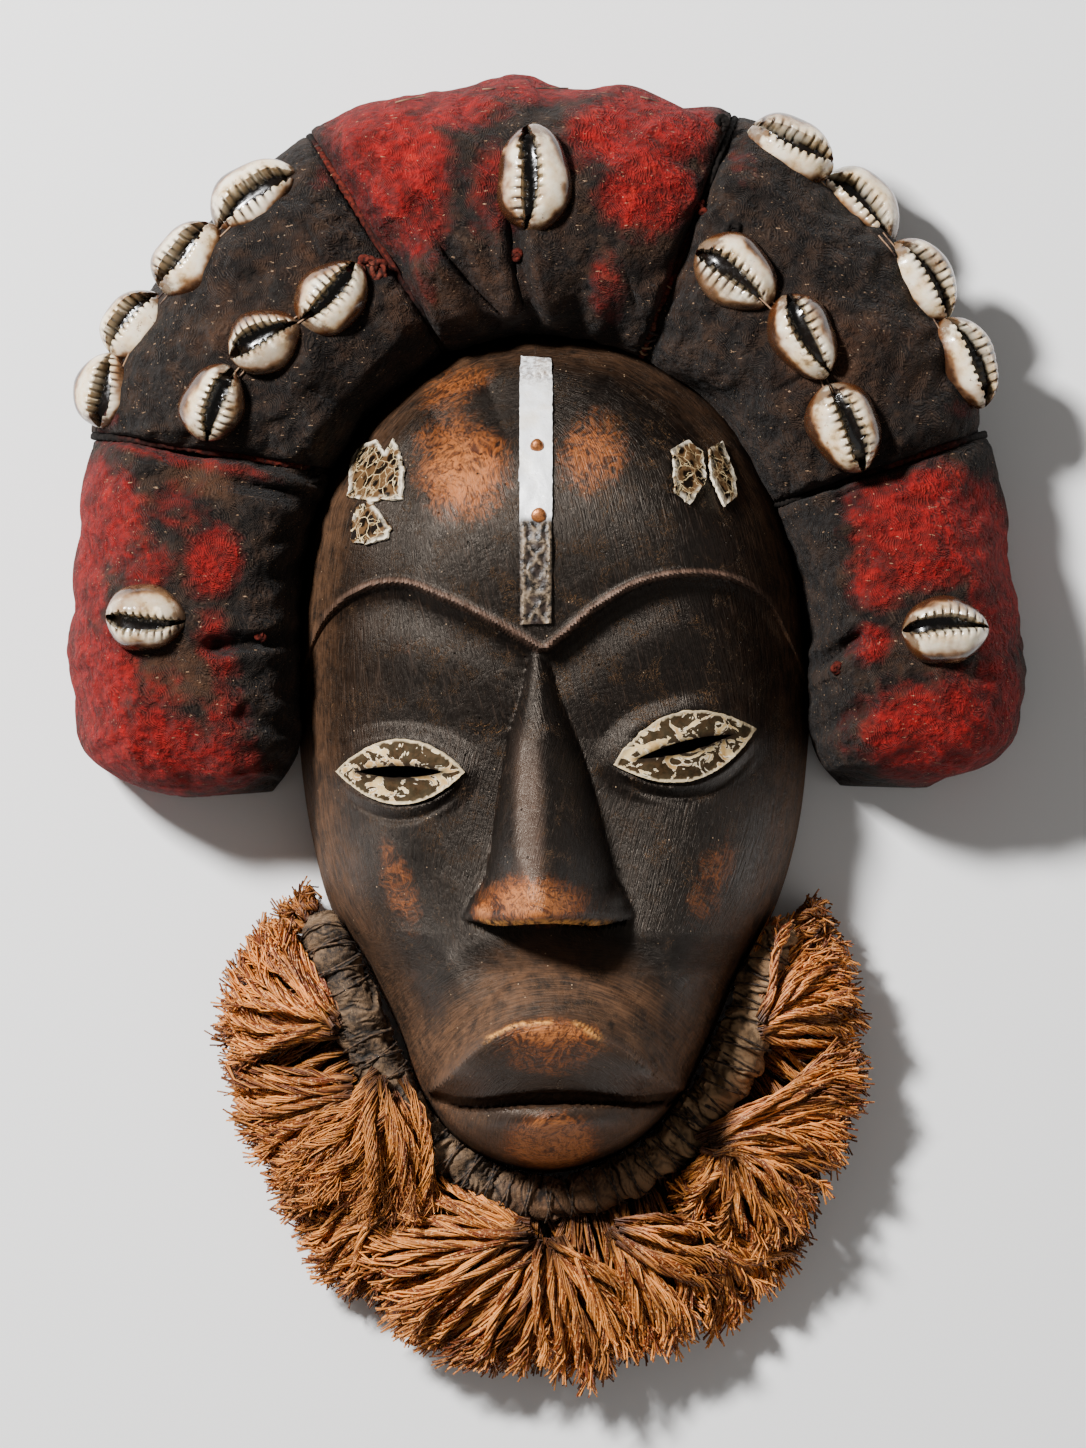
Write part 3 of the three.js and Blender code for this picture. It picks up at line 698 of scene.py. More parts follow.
def buildFace():
    across, up = carving["columns"], carving["rows"]
    turn, reach = discGrid(across, up)
    radius = rimRadius(turn) * np.minimum(reach, 1)
    x = carving["centre"][0] + radius * np.cos(turn)
    y = carving["centre"][1] + radius * np.sin(turn)
    # two rows of points close on the sharp foot of the nose
    for j in np.nonzero(np.abs(x[up // 3] - 2) < 30)[0]:
        i = np.abs(y[:, j] - noseFoot(x[:, j])).argmin()
        below = i - 1 if y[i - 1, j] < y[i, j] else i + 1
        y[i, j], y[below, j] = noseFoot(x[i, j]) + 0.02, noseFoot(x[below, j]) - 0.22
    z = np.maximum(faceHeight(x, y), 0)
    z[[0, -1]] = z[:, [0, -1]] = 0
    points = np.stack([x, y, z], -1).reshape(-1, 3)
    number = np.arange(up * across).reshape(up, across)
    loop = [*number[0], *number[1:, -1], *number[-1, -2::-1], *number[-2:0:-1, 0]]
    obj = makeMesh("carvedFace", points, gridFaces(up, across) + [loop[::-1]])

    # the hollow behind, and the slits of the eyes
    turns = np.linspace(-math.pi, math.pi, 96, endpoint=False)
    walled = rimRadius(turns) - carving["wall"]

    def hollowRing(reach):
        px = carving["centre"][0] + walled * reach * np.cos(turns)
        py = carving["centre"][1] + walled * reach * np.sin(turns)
        full = np.sqrt(np.maximum(0, 1 - reach ** roundness(turns)))
        return np.stack([px, py, smoothAlong(carving["heights"], py) * full - carving["wall"]], 1)

    rings = [hollowRing(1.0)] + [hollowRing(reach) for reach in 1 - (np.arange(1, 22) / 22) ** 2.0]
    rings[0][:, 2] = -20
    hollow = makeMesh("hollow", np.vstack(rings), tubeFaces(len(rings), len(turns)))
    faceOut(hollow)
    cutAway(obj, hollow)
    for side in ("left", "right"):
        eye = eyes[side]
        cutAway(obj, block("slit", lensLine(eye, eye["slit"], eyes["slitHeight"], 14), 20, 110))
    smoothBut(obj, 42)
    return obj


# where the stain is worn through to copper-coloured wood: centre, half sizes, lean in degrees, strength. The
# faint streak down the nose's ridge and the spot high on the forehead's left are also painted highlights
wornPlaces = [
    (-24, 75, 15, 17, 20, 0.85), (13, 79, 11, 14, -15, 0.64), (-41, -42, 6, 16, 20, 0.5),
    (46, -40.5, 8, 17, -20, 0.42), (-39, 26, 6, 4, 0, 0.22), (-3, -45, 17, 8, 0, 1.0),
    (-17.5, -48, 4, 3.5, 0, 1.0), (-3, -24, 4, 24, 0, 0.16), (-26, 97.5, 15, 7, 30, 0.5),
    (1, -81.5, 15, 4.5, 0, 1.0), (1, -86, 17, 9, 0, 0.62), (1.5, -113.5, 14, 10, 0, 1.5),
    (4, -108, 5, 3.5, 0, 0.7), (36, -104, 5, 9, -25, 0.35), (-36, -95, 3, 10, 22, 0.3)]


def paintFace(obj):
    x, y, z = pointsOf(obj).T
    above = browAbove(x, y)
    toRim = distanceToLine(x, y, carving["rim"], True)
    toLip = distanceToLine(x, y, upperLipCurve)
    dome = domeHeight(x, y)[0]
    back = softStep(z, dome - 3, dome - 6)
    wide = carving["crestWidth"]
    crest = softStep(above, -0.6, 0.1) * softStep(above, wide + 0.4, wide - 0.4) * softStep(np.abs(x), 70, 45)
    lips = insideOutline(x, y, upperLipShape) | (y < -103)
    muzzle = insideOutline(x, y, np.vstack([muzzleShape, [(44, -108), (-38, -108)]])) & ~lips
    dust = 0.75 * softStep(toRim, 15, 3) + 0.4 * softStep(y, -66, -96) * softStep(np.abs(x - 2), 10, 30)
    dust += 0.8 * softStep(distanceToLine(x, y, muzzleShape), 12, 2) + 0.2 * softStep(np.abs(x - 2), 40, 62)
    dust = np.where(lips & (toRim > 12), 0.1, dust + 0.55 * muzzle)
    # lines along the upper lip's edge and the nose's foot: worn edges, also painted lighter as a painted glint
    lipMiddle = np.maximum(softStep(np.abs(x + 7.5), 11, 7), softStep(np.abs(x - 11), 5, 2))
    noseEdge = softStep(np.abs(y - noseFoot(x) - 0.2), 1.5, 0.4) * softStep(np.abs(x), 25, 19)
    edges = softStep(toLip, 0.7, 0.15) * lipMiddle + noseEdge * softStep(z, 72, 80)
    # worn smooth on the nose, the lips' edges and the chin: less rough there, and painted lighter as a painted
    # highlight, most on the nose's left plane
    smooth = softStep(np.abs(x + 5.5 + 0.03 * y), 5.5, 1.5) * softStep(y, 8, -14) * softStep(y, -53, -48)
    smooth = np.maximum(smooth, 0.7 * softStep(toLip, 3, 0.5) * softStep(y, -100, -92))
    # the brush marks follow the rim near it, run up and down on the cheeks and round the muzzle
    nearRim = softStep(toRim, 34, 10)
    grain = np.where(x < -3, toRim, 150 - toRim) * nearRim + (x + 74 + 0.25 * np.abs(y)) * (1 - nearRim)
    mouth = softStep(y, -54, -66)
    paint(obj, "grain", grain * (1 - mouth) + 0.9 * np.hypot(x - 2, y + 112) * mouth)
    paint(obj, "raw", np.clip(back + softStep(z, 20, 0), 0, 1))
    # the edges and the polished places carry painted highlights as well as wear
    front = {"wear": strongest(wornPlaces, x, y, 1.35, 0.25), "edgeWearAndGlint": np.clip(edges, 0, 1), "crest": crest,
             "dust": np.clip(dust, 0, 1), "polishAndHighlight": np.clip(np.maximum(smooth, 0.35 * lips), 0, 1)}
    for name, values in front.items():
        paint(obj, name, values * (1 - back))


def woodLook():
    look = Look("stained wood", {"Specular IOR Level": 0.4, "Specular Tint": (1.0, 0.84, 0.7, 1.0)})
    swirl = look.noise(34, 3, 0.5, output="Color")
    flow = look.place(warp=swirl, warpBy=0.028)
    blotch = look.noise(11, 5, 0.6, flow)
    fine = look.noise(1.4, 6, 0.68, flow)
    curly = look.noise(2.2, 4, 0.62, flow, distortion=1.6)
    fibre = look.noise(0.6, 3, 0.6, look.place((0.16, 1.0, 0.5), (0, 0, 0.9), swirl, 0.05))
    # brush marks: long thin ones, and short strokes in bundles
    stroke = look.noise(1000, 3, 0.62, look.contours("grain", 0.42, 7.0))
    band = look.noise(1000, 3, 0.6, look.contours("grain", 1.5, 12.0))
    short = look.noise(1000, 2, 0.6, look.contours("grain", 0.26, 2.6))
    marks = stroke.range(0.53, 0.68) * band.range(0.4, 0.62)
    bundles = short.range(0.6, 0.7) * look.noise(8, 4, 0.6, flow).range(0.46, 0.64)
    marks = look.math("MAXIMUM", marks, bundles)
    cross = look.noise(0.6, 3, 0.6, look.place((1.0, 0.16, 0.5), (0, 0, 0.5), swirl, 0.06))
    hair = abs(cross - 0.5).range(0.012, 0.002) * look.noise(7, 3, 0.6).range(0.5, 0.64)
    pits = look.cells(3.4).range(0.12, 0.04) * look.noise(16, 2).range(0.5, 0.6)
    specks = look.cells(2.3).range(0.1, 0.05) * look.noise(5, 2).range(0.54, 0.64)
    wear, dust, polishAndHighlight, raw = (look.read(name) for name in ("wear", "dust", "polishAndHighlight", "raw"))

    # black stain, the pale brush marks in it, a painted highlight where the wood is polished, and dust
    base = look.mix(blotch.range(0.3, 0.7), "#040303", "#0E0A08")
    base = look.mix(fine.range(0.48, 0.78), base, "#140E0B")
    base = look.mix(marks * 0.42, base, "#433227")
    # painted highlight: the polished nose and lips are painted lighter
    base = look.mix(polishAndHighlight * 0.6, base, "#55443A")
    dusty = look.noise(6, 6, 0.7, flow).range(0.3, 0.66) * 0.6 + stroke.range(0.42, 0.6) * 0.4
    base = look.mix(dust * dusty, base, "#5C3F2A")
    base = look.mix(hair * 0.6, base, "#9A7048")

    # copper-coloured wood where the stain is rubbed off
    worn = wear + (curly - 0.5) * 0.75 + (blotch - 0.5) * 0.8 + (stroke - 0.5) * 0.5
    worn = worn.range(0.15, 1.05) * wear.range(0.02, 0.3)
    copper = look.mix(curly.range(0.38, 0.6), "#4E220C", "#A45A27")
    copper = look.mix(fine.range(0.5, 0.72) * 0.6, copper, "#AF6A34")
    # lighter copper in the heart of the most worn places: wear and a painted highlight
    copper = look.mix(wear.range(0.6, 1.0) * curly.range(0.3, 0.6) * 0.35, copper, "#C6834E")
    copper = look.mix(look.noise(3.5, 4, 0.6, flow).range(0.56, 0.8), copper, "#3F2315")
    base = look.mix(worn * 0.92, base, copper)

    # edges, partly as painted highlights, specks, pits and raw wood
    # the brow's crest painted lighter: a worn edge and a painted highlight where the ridge faces the light
    crest = look.read("crest") * look.noise(5, 5, 0.7).range(0.3, 0.6, 0.45, 1.0)
    base = look.mix(crest, base, look.mix(stroke.range(0.4, 0.6), "#4B372D", "#7C6152"))
    # painted glint: a golden line along the worn edges of the lips and the nose's foot
    base = look.mix(look.read("edgeWearAndGlint") * look.noise(2.4, 4, 0.7).range(0.38, 0.56), base, "#EBA352")
    base = look.mix(specks, base, "#B79A7A")
    base = look.mix(pits, base, "#050404")
    base = look.mix(raw, base, look.mix(fibre.range(0.35, 0.65), "#3A2A1F", "#6B4D36"))
    rough = fine.range(0.3, 0.7, 0.3, 0.5) + dust * 0.3 + raw * 0.3 - polishAndHighlight * 0.1 + marks * 0.15
    relief = fine * 0.5 + stroke * 0.9 - pits * 1.6 - hair * 0.35 + blotch * 0.9
    return look.finish(base, relief, 0.5, 0.85, rough)


face = buildFace()
paintFace(face)
dress(face, woodLook())
finishPiece(face, "wood", "carved_face")
print("face carved:", len(face.data.polygons), "faces")


# where the cowries are sewn: place in plan, length, width, and the angle of the long axis from +X

shells = {
    "leftOuter1": {"at": (-81.5, 151), "size": (27.5, 19), "angle": 35},
    "leftOuter2": {"at": (-99.5, 133.5), "size": (24, 18), "angle": 52},
    "leftOuter3": {"at": (-114.5, 115.5), "size": (22, 17), "angle": 50},
    "leftOuter4": {"at": (-123, 97.5), "size": (21.5, 17), "angle": 80},
    "leftInner1": {"at": (-60, 122.7), "size": (24, 17.5), "angle": 48},
    "leftInner2": {"at": (-78.3, 110.3), "size": (21.5, 16.5), "angle": 27},
    "leftInner3": {"at": (-93, 93.5), "size": (22.5, 17), "angle": 70},
    "middle": {"at": (-3.5, 155.5), "size": (30.5, 20), "angle": 90},
    "rightOuter1": {"at": (68, 164), "size": (26.5, 18.5), "angle": -25},
    "rightOuter2": {"at": (88, 149), "size": (26.5, 17.5), "angle": -48},
    "rightOuter3": {"at": (104, 128), "size": (26.5, 17.5), "angle": -57},
    "rightOuter4": {"at": (116, 105), "size": (27.5, 17), "angle": -66},
    "rightInner1": {"at": (53, 129.5), "size": (26, 18.5), "angle": -38},
    "rightInner2": {"at": (71.5, 111.5), "size": (26, 17), "angle": -62},
    "rightInner3": {"at": (83, 86.5), "size": (26.5, 19.5), "angle": -68},
    "leftLobe": {"at": (-111.5, 33.5), "size": (23, 17.5), "angle": -3},
    "rightLobe": {"at": (111, 30), "size": (24.5, 17.5), "angle": 2},
}


# the stuffed cloth headdress: each section runs from rib to rib, and each rib goes from the face outwards

clothShape = {
    "rim": 0.16, "edge": 0.93, "roundness": 2.6, "pinch": 0.86, "seamDepth": 3.4, "seamWidth": 3.6,
    "closedWidth": 16, "steps": 84, "turns": 92, "underColumns": 14, "lapPoints": 24,
    "pressure": 3.0, "slack": 0.035, "mostMove": 4.5, "frames": 20,
}
sections = {
    "leftLobe": {
        "thickness": 54, "closes": "start",
        "inner": [(-78, -15.5), (-73, -9), (-69, 0), (-68.5, 14), (-68.5, 38.5), (-66, 56.5), (-60, 74.5)],
        "outer": [(-103, -17.2), (-122, -10.5), (-133, 1.5), (-135, 21.5), (-134.5, 41.5), (-132, 63.5),
                  (-128.5, 85)]},
    "leftPanel": {
        "thickness": 57, "closes": "",
        "inner": [(-60, 75), (-55, 83.5), (-49, 91.5), (-41, 98.5), (-35.5, 103.5), (-28.5, 108)],
        "outer": [(-128.5, 85.5), (-126, 100), (-119, 116.5), (-107, 134.5), (-90, 152), (-67.5, 170)]},
    "topPanel": {
        "thickness": 60, "closes": "",
        "inner": [(-28.2, 108.2), (-18, 110.5), (-7.5, 111.5), (3.5, 111.5), (15, 109.5), (25.8, 105.8)],
        "outer": [(-67, 170.3), (-48, 180.5), (-27, 185), (-3.5, 186), (20.5, 185), (53, 175.5)]},
    "rightPanel": {
        "thickness": 57, "closes": "",
        "inner": [(26, 105.5), (34, 101), (42, 94.5), (49, 87.5), (56, 77.5), (63, 65)],
        "outer": [(53.5, 175), (71, 166.5), (88, 152.5), (103, 135), (115, 114), (124, 86)]},
    "rightLobe": {
        "thickness": 54, "closes": "end",
        "inner": [(63, 64.5), (67.5, 52.5), (71.5, 35.5), (73, 16), (74, 3), (77.5, -7), (83.5, -13.8)],
        "outer": [(124, 85.5), (129.5, 63.5), (133, 44), (135, 24.5), (134.5, 4.5), (126, -5.5),
                  (108, -14.5)]},
}
# valleys in the cloth in plan: from, to, depth, width
creases = {
    "leftLobe": [((-67, 66), (-86, 71), 3.2, 2.0), ((-60, 70), (-80, 76), 2.2, 1.8),
                 ((-70, 28), (-92, 25.5), 3.4, 2.2), ((-69, 0), (-84, 6), 1.6, 3),
                 ((-70, 48), (-78, 44), 1.5, 2.5)],
    "leftPanel": [((-42, 103), (-58, 122), 1.2, 3.5), ((-52, 94), (-76, 96), 1.0, 3.5)],
    "topPanel": [((-33, 108), (-42, 134), 3.4, 2.6), ((-15, 116), (-27, 137), 3.2, 2.4),
                 ((-4, 116), (-9, 142), 3.4, 2.2), ((-41, 134), (-60, 163), 1.8, 4),
                 ((19, 111), (27, 132), 1.6, 3.5), ((8, 112), (9, 124), 1.4, 3)],
    "rightPanel": [((29, 108), (38, 126), 1.8, 2.6), ((48, 94), (66, 98), 1.0, 3.5)],
    "rightLobe": [((73, 20), (86, 27), 3.0, 2.2), ((68, 60), (88, 66), 1.8, 3), ((74, 2), (88, 8), 1.6, 3)],
}
# red places on the cloth in plan: centre, half sizes, lean in degrees, strength
redPlaces = {
    "leftLobe": [(-125, 62, 13, 17, 10, 1.1), (-131, 41, 9, 14, 0, 1.0), (-126, 17, 14, 17, 8, 1.15),
                 (-114, -4, 24, 14, -12, 1.2), (-94, -8, 15, 10, 8, 0.95), (-93, 50, 8, 12, -14, 0.95),
                 (-101, 64, 10, 9, 0, 0.55), (-92, 26, 6, 12, 20, 0.65), (-104, 79, 30, 3.2, -14, 0.6),
                 (-90, 4, 8, 12, 0, 0.6), (-112, 48, 8, 10, 0, 0.7), (-108, 12, 9, 9, 0, 0.6)],
    "leftPanel": [(-60, 160, 5, 9, -35, 0.45), (-124, 90, 4, 5, 0, 0.4)],
    "topPanel": [(-45, 162, 18, 23, 24, 1.25), (-30, 178, 19, 9, -8, 1.1), (0, 184, 30, 7, 0, 1.0),
                 (26, 170, 22, 14, 8, 1.2), (29, 152, 15, 13, 0, 1.1), (16, 125, 6, 11, 0, 0.6),
                 (-38, 142, 10, 12, 20, 0.8), (37, 124, 5, 16, -18, 0.8), (-47, 178, 11, 7, 30, 1.1),
                 (-14, 152, 9, 16, 0, 0.55), (-38, 122, 7, 13, -24, 0.42)],
    "rightPanel": [(55, 160, 4, 9, 10, 0.35), (118, 92, 7, 3, 0, 0.35)],
    "rightLobe": [(108, 58, 24, 18, 8, 1.2), (126, 40, 10, 25, 0, 1.05), (110, 2, 25, 16, 4, 1.2),
                  (90, 64, 9, 9, 0, 0.8), (126, 12, 9, 15, 0, 1.0), (90, 26, 7, 6, 0, 0.9),
                  (92, 44, 9, 9, 0, 0.75), (108, 27, 9, 9, 0, 0.55)],
}
# laps of cloth in plan: line, how far its left side stands up, depth of the crease
folds = {
    "leftLobe": [([(-84, 71.5), (-75, 69.5), (-66, 68.5)], 0.9, 1.3), ([(-84, 28.5), (-92, 28.5)], 0.6, 0.9),
                 ([(-66.5, 58), (-69.5, 30), (-69.5, 4)], 0.5, 0.9)],
    "leftPanel": [([(-57, 92), (-72, 100)], 0.4, 0.6), ([(-68, 145), (-62, 132)], 0.4, 0.5)],
    "topPanel": [([(-12, 117), (-20, 124.5), (-33, 139)], 2.1, 1.9),
                 ([(-10.5, 146), (-8.5, 130), (-6, 118)], 1.2, 1.6),
                 ([(-40.5, 133), (-36, 124), (-31, 110)], 1.3, 1.5),
                 ([(-16, 117.5), (-10, 116), (-3.5, 118)], 0.8, 1.1), ([(22, 131), (26, 118)], 0.5, 0.8),
                 ([(-38, 130), (-48, 128)], 0.6, 0.8)],
    "rightPanel": [([(40, 128), (50, 122)], 0.4, 0.6), ([(62, 96), (74, 102)], 0.4, 0.6)],
    "rightLobe": [([(75, 19), (85, 26)], 0.7, 1.1), ([(80, 67), (92, 72)], 0.5, 0.8),
                  ([(68, 55), (71, 40)], 0.4, 0.7)],
}
dustPlaces = [(-103, 18, 13, 10, 0, 0.8), (-96, 72, 10, 6, 0, 0.8), (-84, 116, 18, 14, 40, 0.45),
              (-20, 124, 26, 10, 0, 0.75), (-38, 122, 8, 12, -20, 0.7), (26, 132, 16, 14, 0, 0.6),
              (78, 104, 22, 16, -50, 0.6), (62, 118, 12, 10, 0, 0.4), (102, 24, 13, 9, 0, 0.55),
              (-70, 132, 16, 10, 40, 0.4), (100, 112, 14, 16, 30, 0.45), (6, 148, 9, 12, 0, 0.5)]


def clothSurface(section, run, turn, seamed=True):
    # place on a section: run goes along it, turn from the outer edge (0) over the top to the face (pi)
    inner = curveAt(section["inner"], run * (len(section["inner"]) - 1))
    outer = curveAt(section["outer"], run * (len(section["outer"]) - 1))
    ends = np.minimum(run, 1 - run) * 2
    swell = clothShape["pinch"] + (1 - clothShape["pinch"]) * np.sqrt(1 - (1 - ends) ** 4)
    gone = {"start": run, "end": 1 - run, "": np.ones_like(run)}[section["closes"]]
    shut = np.sqrt(1 - (1 - np.clip(gone / 0.34, 0, 1)) ** 2)
    height = section["thickness"] * swell * (0.5 + 0.5 * shut)
    across = outer - inner
    width = np.linalg.norm(across, axis=1)
    across /= width[:, None]
    middle = (inner + outer) / 2
    c, s = np.cos(turn), np.sin(turn)
    power = np.where(c > 0, 2 / clothShape["roundness"], 2 / (clothShape["roundness"] * 1.7))
    side = np.sign(c) * np.abs(c) ** power
    foot = height * clothShape["rim"]
    up = foot + (height - foot) * np.abs(s) ** (2 / clothShape["roundness"])
    if seamed:
        # the cloth dives into the seams and rounds over at a closed end
        sides = [np.diff(curveThrough(section[side], 30), axis=0) for side in ("outer", "inner")]
        length = 0.5 * sum(np.linalg.norm(side, axis=1).sum() for side in sides)
        for gone, end in ((run, "start"), (1 - run, "end")):
            closed = section["closes"] == end
            near = np.clip(gone * length / (clothShape["closedWidth" if closed else "seamWidth"]), 0, 1)
            full = np.sqrt(1 - (1 - near) ** 2)
            if closed:
                up = foot + (up - foot) * (0.12 + 0.88 * full)
            else:
                up -= clothShape["seamDepth"] * (1 - full) * np.abs(s) ** 0.5
    flat = middle + across * (side * width / 2)[:, None]
    return np.column_stack([flat, up])


def clothGrid(section, steps, turns):
    run, turn = np.meshgrid(np.linspace(0, 1, steps), np.linspace(0, math.pi, turns), indexing="ij")
    # rows of points crowd towards the seams
    run = run - 0.035 * np.sin(run * 4 * math.pi) / 1.4
    return run, clothSurface(section, run.ravel(), turn.ravel()).reshape(steps, turns, 3)


def pushIn(points, lines):
    # valleys with a low roll on each side
    x, y = points[:, 0], points[:, 1]
    drop = np.zeros(len(points))
    for a, b, depth, width in lines:
        d = distanceToLine(x, y, [a, b])
        drop -= 1.4 * depth * hump(d, 0, width)
        drop += 0.5 * depth * hump(d, 2.1 * width, 1.1 * width)
    return drop


def lapUp(points, lines):
    # small laps and sharp creases: the change of height, and how deep in a crease each place is
    x, y = points[:, 0], points[:, 1]
    lift, crease = np.zeros(len(points)), np.zeros(len(points))
    for route, high, deep in lines:
        line = curveThrough(route, clothShape["lapPoints"])
        d = distanceToLine(x, y, line)
        nearest = np.hypot(x[:, None] - line[:, 0], y[:, None] - line[:, 1]).argmin(axis=1)
        forward = np.gradient(line, axis=0)[nearest]
        left = np.sign(forward[:, 0] * (y - line[nearest, 1]) - forward[:, 1] * (x - line[nearest, 0]))
        share = nearest / (clothShape["lapPoints"] - 1)
        ends = softStep(np.minimum(share, 1 - share), -0.04, 0.2) * softStep(d, 16, 8)
        lift += ends * np.where(left > 0, 2 * high * np.exp(-d / 6.5), 0.0)
        lift -= ends * 1.3 * deep * hump(d, 0, 0.9)
        crease = np.maximum(crease, ends * hump(d, 0, 0.8))
    return lift, crease


def faceClear(points, room=0.5):
    # moves points out of the wooden face, sideways from its middle
    centre = np.array(carving["centre"])
    flat = points[:, :2] - centre
    turn = np.arctan2(flat[:, 1], flat[:, 0])
    dist = np.hypot(flat[:, 0], flat[:, 1])
    top = smoothAlong(carving["heights"], points[:, 1]) + carving["browRise"] + carving["crestRise"]
    level = np.clip((points[:, 2] - carving["browRise"] - carving["crestRise"]) / top, 0, 0.999)
    least = rimRadius(turn) * (1 - level ** 2) ** (1 / roundness(turn)) + room
    grow = np.where(dist < least, least / np.maximum(dist, 1), 1)
    moved = points.copy()
    moved[:, :2] = centre + flat * grow[:, None]
    return moved


def simulateStuffing(obj, held):
    # swells the cloth against its seams, which are held
    scene = bpy.context.scene
    group = obj.vertex_groups.new(name="held")
    held = np.round(held, 1)
    for level in np.unique(held[held > 0]):
        group.add(np.nonzero(held == level)[0].tolist(), float(level), "REPLACE")
    cloth = obj.modifiers.new("stuffing", "CLOTH")
    settings = cloth.settings
    settings.quality = 5
    settings.mass = 0.25
    settings.tension_stiffness = settings.compression_stiffness = 12
    settings.shear_stiffness = 4
    settings.bending_stiffness = 0.08
    settings.use_pressure = True
    settings.uniform_pressure_force = clothShape["pressure"]
    settings.shrink_min = -clothShape["slack"]
    settings.vertex_group_mass = "held"
    settings.effector_weights.gravity = 0
    cloth.collision_settings.use_collision = False
    cloth.point_cache.frame_start, cloth.point_cache.frame_end = 1, clothShape["frames"]
    for step in range(1, clothShape["frames"] + 1):
        scene.frame_set(step)
    applyModifiers(obj)
    scene.frame_set(1)


def closedSection(section):
    # the skin over a section, and its underside, which lies flat behind the skin, drawn in from its edges
    steps, turns = clothShape["steps"], clothShape["turns"]
    run, skin = clothGrid(section, steps, turns)
    inset = 1 - clothShape["edge"]
    outerFoot, innerFoot = (skin[:, i] + inset * (skin[:, turns // 2] - skin[:, i]) for i in (0, -1))
    outerFoot[:, 2] = innerFoot[:, 2] = 0
    share = np.linspace(0, 1, clothShape["underColumns"])[:, None, None]
    under = (innerFoot * (1 - share) + outerFoot * share).transpose(1, 0, 2)
    ring = np.concatenate([skin, under], axis=1)
    columns = ring.shape[1]
    points = np.vstack([ring.reshape(-1, 3), ring[0].mean(axis=0), ring[-1].mean(axis=0)])
    faces = gridFaces(steps, columns, True)
    for i in range(columns):
        faces.append((steps * columns, (i + 1) % columns, i))
    for i in range(columns):
        last = (steps - 1) * columns
        faces.append((steps * columns + 1, last + i, last + (i + 1) % columns))
    # the column of each point, and how far along the section it is from a seam
    column = np.append(np.tile(np.arange(columns), steps), [columns, columns])
    fromSeam = np.append(np.repeat(np.minimum(run[:, 0], 1 - run[:, 0]), columns), [0, 0])
    return points, faces, column, fromSeam


def uneven(name, points, skin):
    # ripples, the creases, a dent under each shell, and a slightly lumpy outer edge
    x, y = points[:, 0], points[:, 1]
    ripple, small, lumps = (Ripple(len(name) * k, size)(x, y) for k, size in ((7, 26), (11, 9), (13, 34)))
    lift = pushIn(points, creases[name]) + 0.8 * ripple + 0.36 * small
    for shell in shells.values():
        lift -= 1.5 * hump(np.hypot(x - shell["at"][0], y - shell["at"][1]), 0, 12)
    fade = softStep(points[:, 2], 3, 16)
    away = points[:, :2] / np.linalg.norm(points[:, :2], axis=1, keepdims=True)
    outer = (0.9 * lumps - 0.2) * skin * softStep(np.hypot(x, y - 10), 105, 125)
    return points + np.column_stack([away * outer[:, None], np.where(skin, lift * fade, 0)])


def stuff(obj, column, fromSeam):
    # what the simulation moves is kept within a few millimetres
    turns = clothShape["turns"]
    before = pointsOf(obj)
    held = np.maximum(softStep(fromSeam, 0.02, 0.0), (column >= turns) | (column < 2) | (column > turns - 6))
    simulateStuffing(obj, held)
    move = pointsOf(obj) - before
    far = np.linalg.norm(move, axis=1, keepdims=True)
    return before + move * np.minimum(1, clothShape["mostMove"] / np.maximum(far, 1e-6))


def buildSection(name):
    points, faces, column, fromSeam = closedSection(sections[name])
    obj = makeMesh(name, uneven(name, points, column < clothShape["turns"]), faces)
    faceOut(obj)
    p = stuff(obj, column, fromSeam)
    p[:, 2] = np.maximum(p[:, 2], 0)
    setPoints(obj, faceClear(p))
    finer = obj.modifiers.new("finer", "SUBSURF")
    finer.levels = finer.render_levels = 1
    applyModifiers(obj)
    for polygon in obj.data.polygons:
        polygon.use_smooth = True
    p = pointsOf(obj)
    lift, crease = lapUp(p, folds[name])
    p[:, 2] += lift * softStep(p[:, 2], 6, 14)
    setPoints(obj, faceClear(p))
    x, y, _ = p.T
    paint(obj, "red", strongest(redPlaces[name], x, y, 1.4, 0.45))
    paint(obj, "dust", strongest(dustPlaces, x, y, 1.4, 0.45))
    # painted shade: how deep in a crease or under a lap each place is
    paint(obj, "creaseShade", np.clip(np.maximum(-pushIn(p, creases[name]) / 2.5, 1.3 * crease), 0, 1))
    dress(obj, clothCoat)
    dark = name in ("leftPanel", "rightPanel")
    finishPiece(obj, "dark_cloth" if dark else "red_cloth", nodeName("headdress_", name))
    return obj


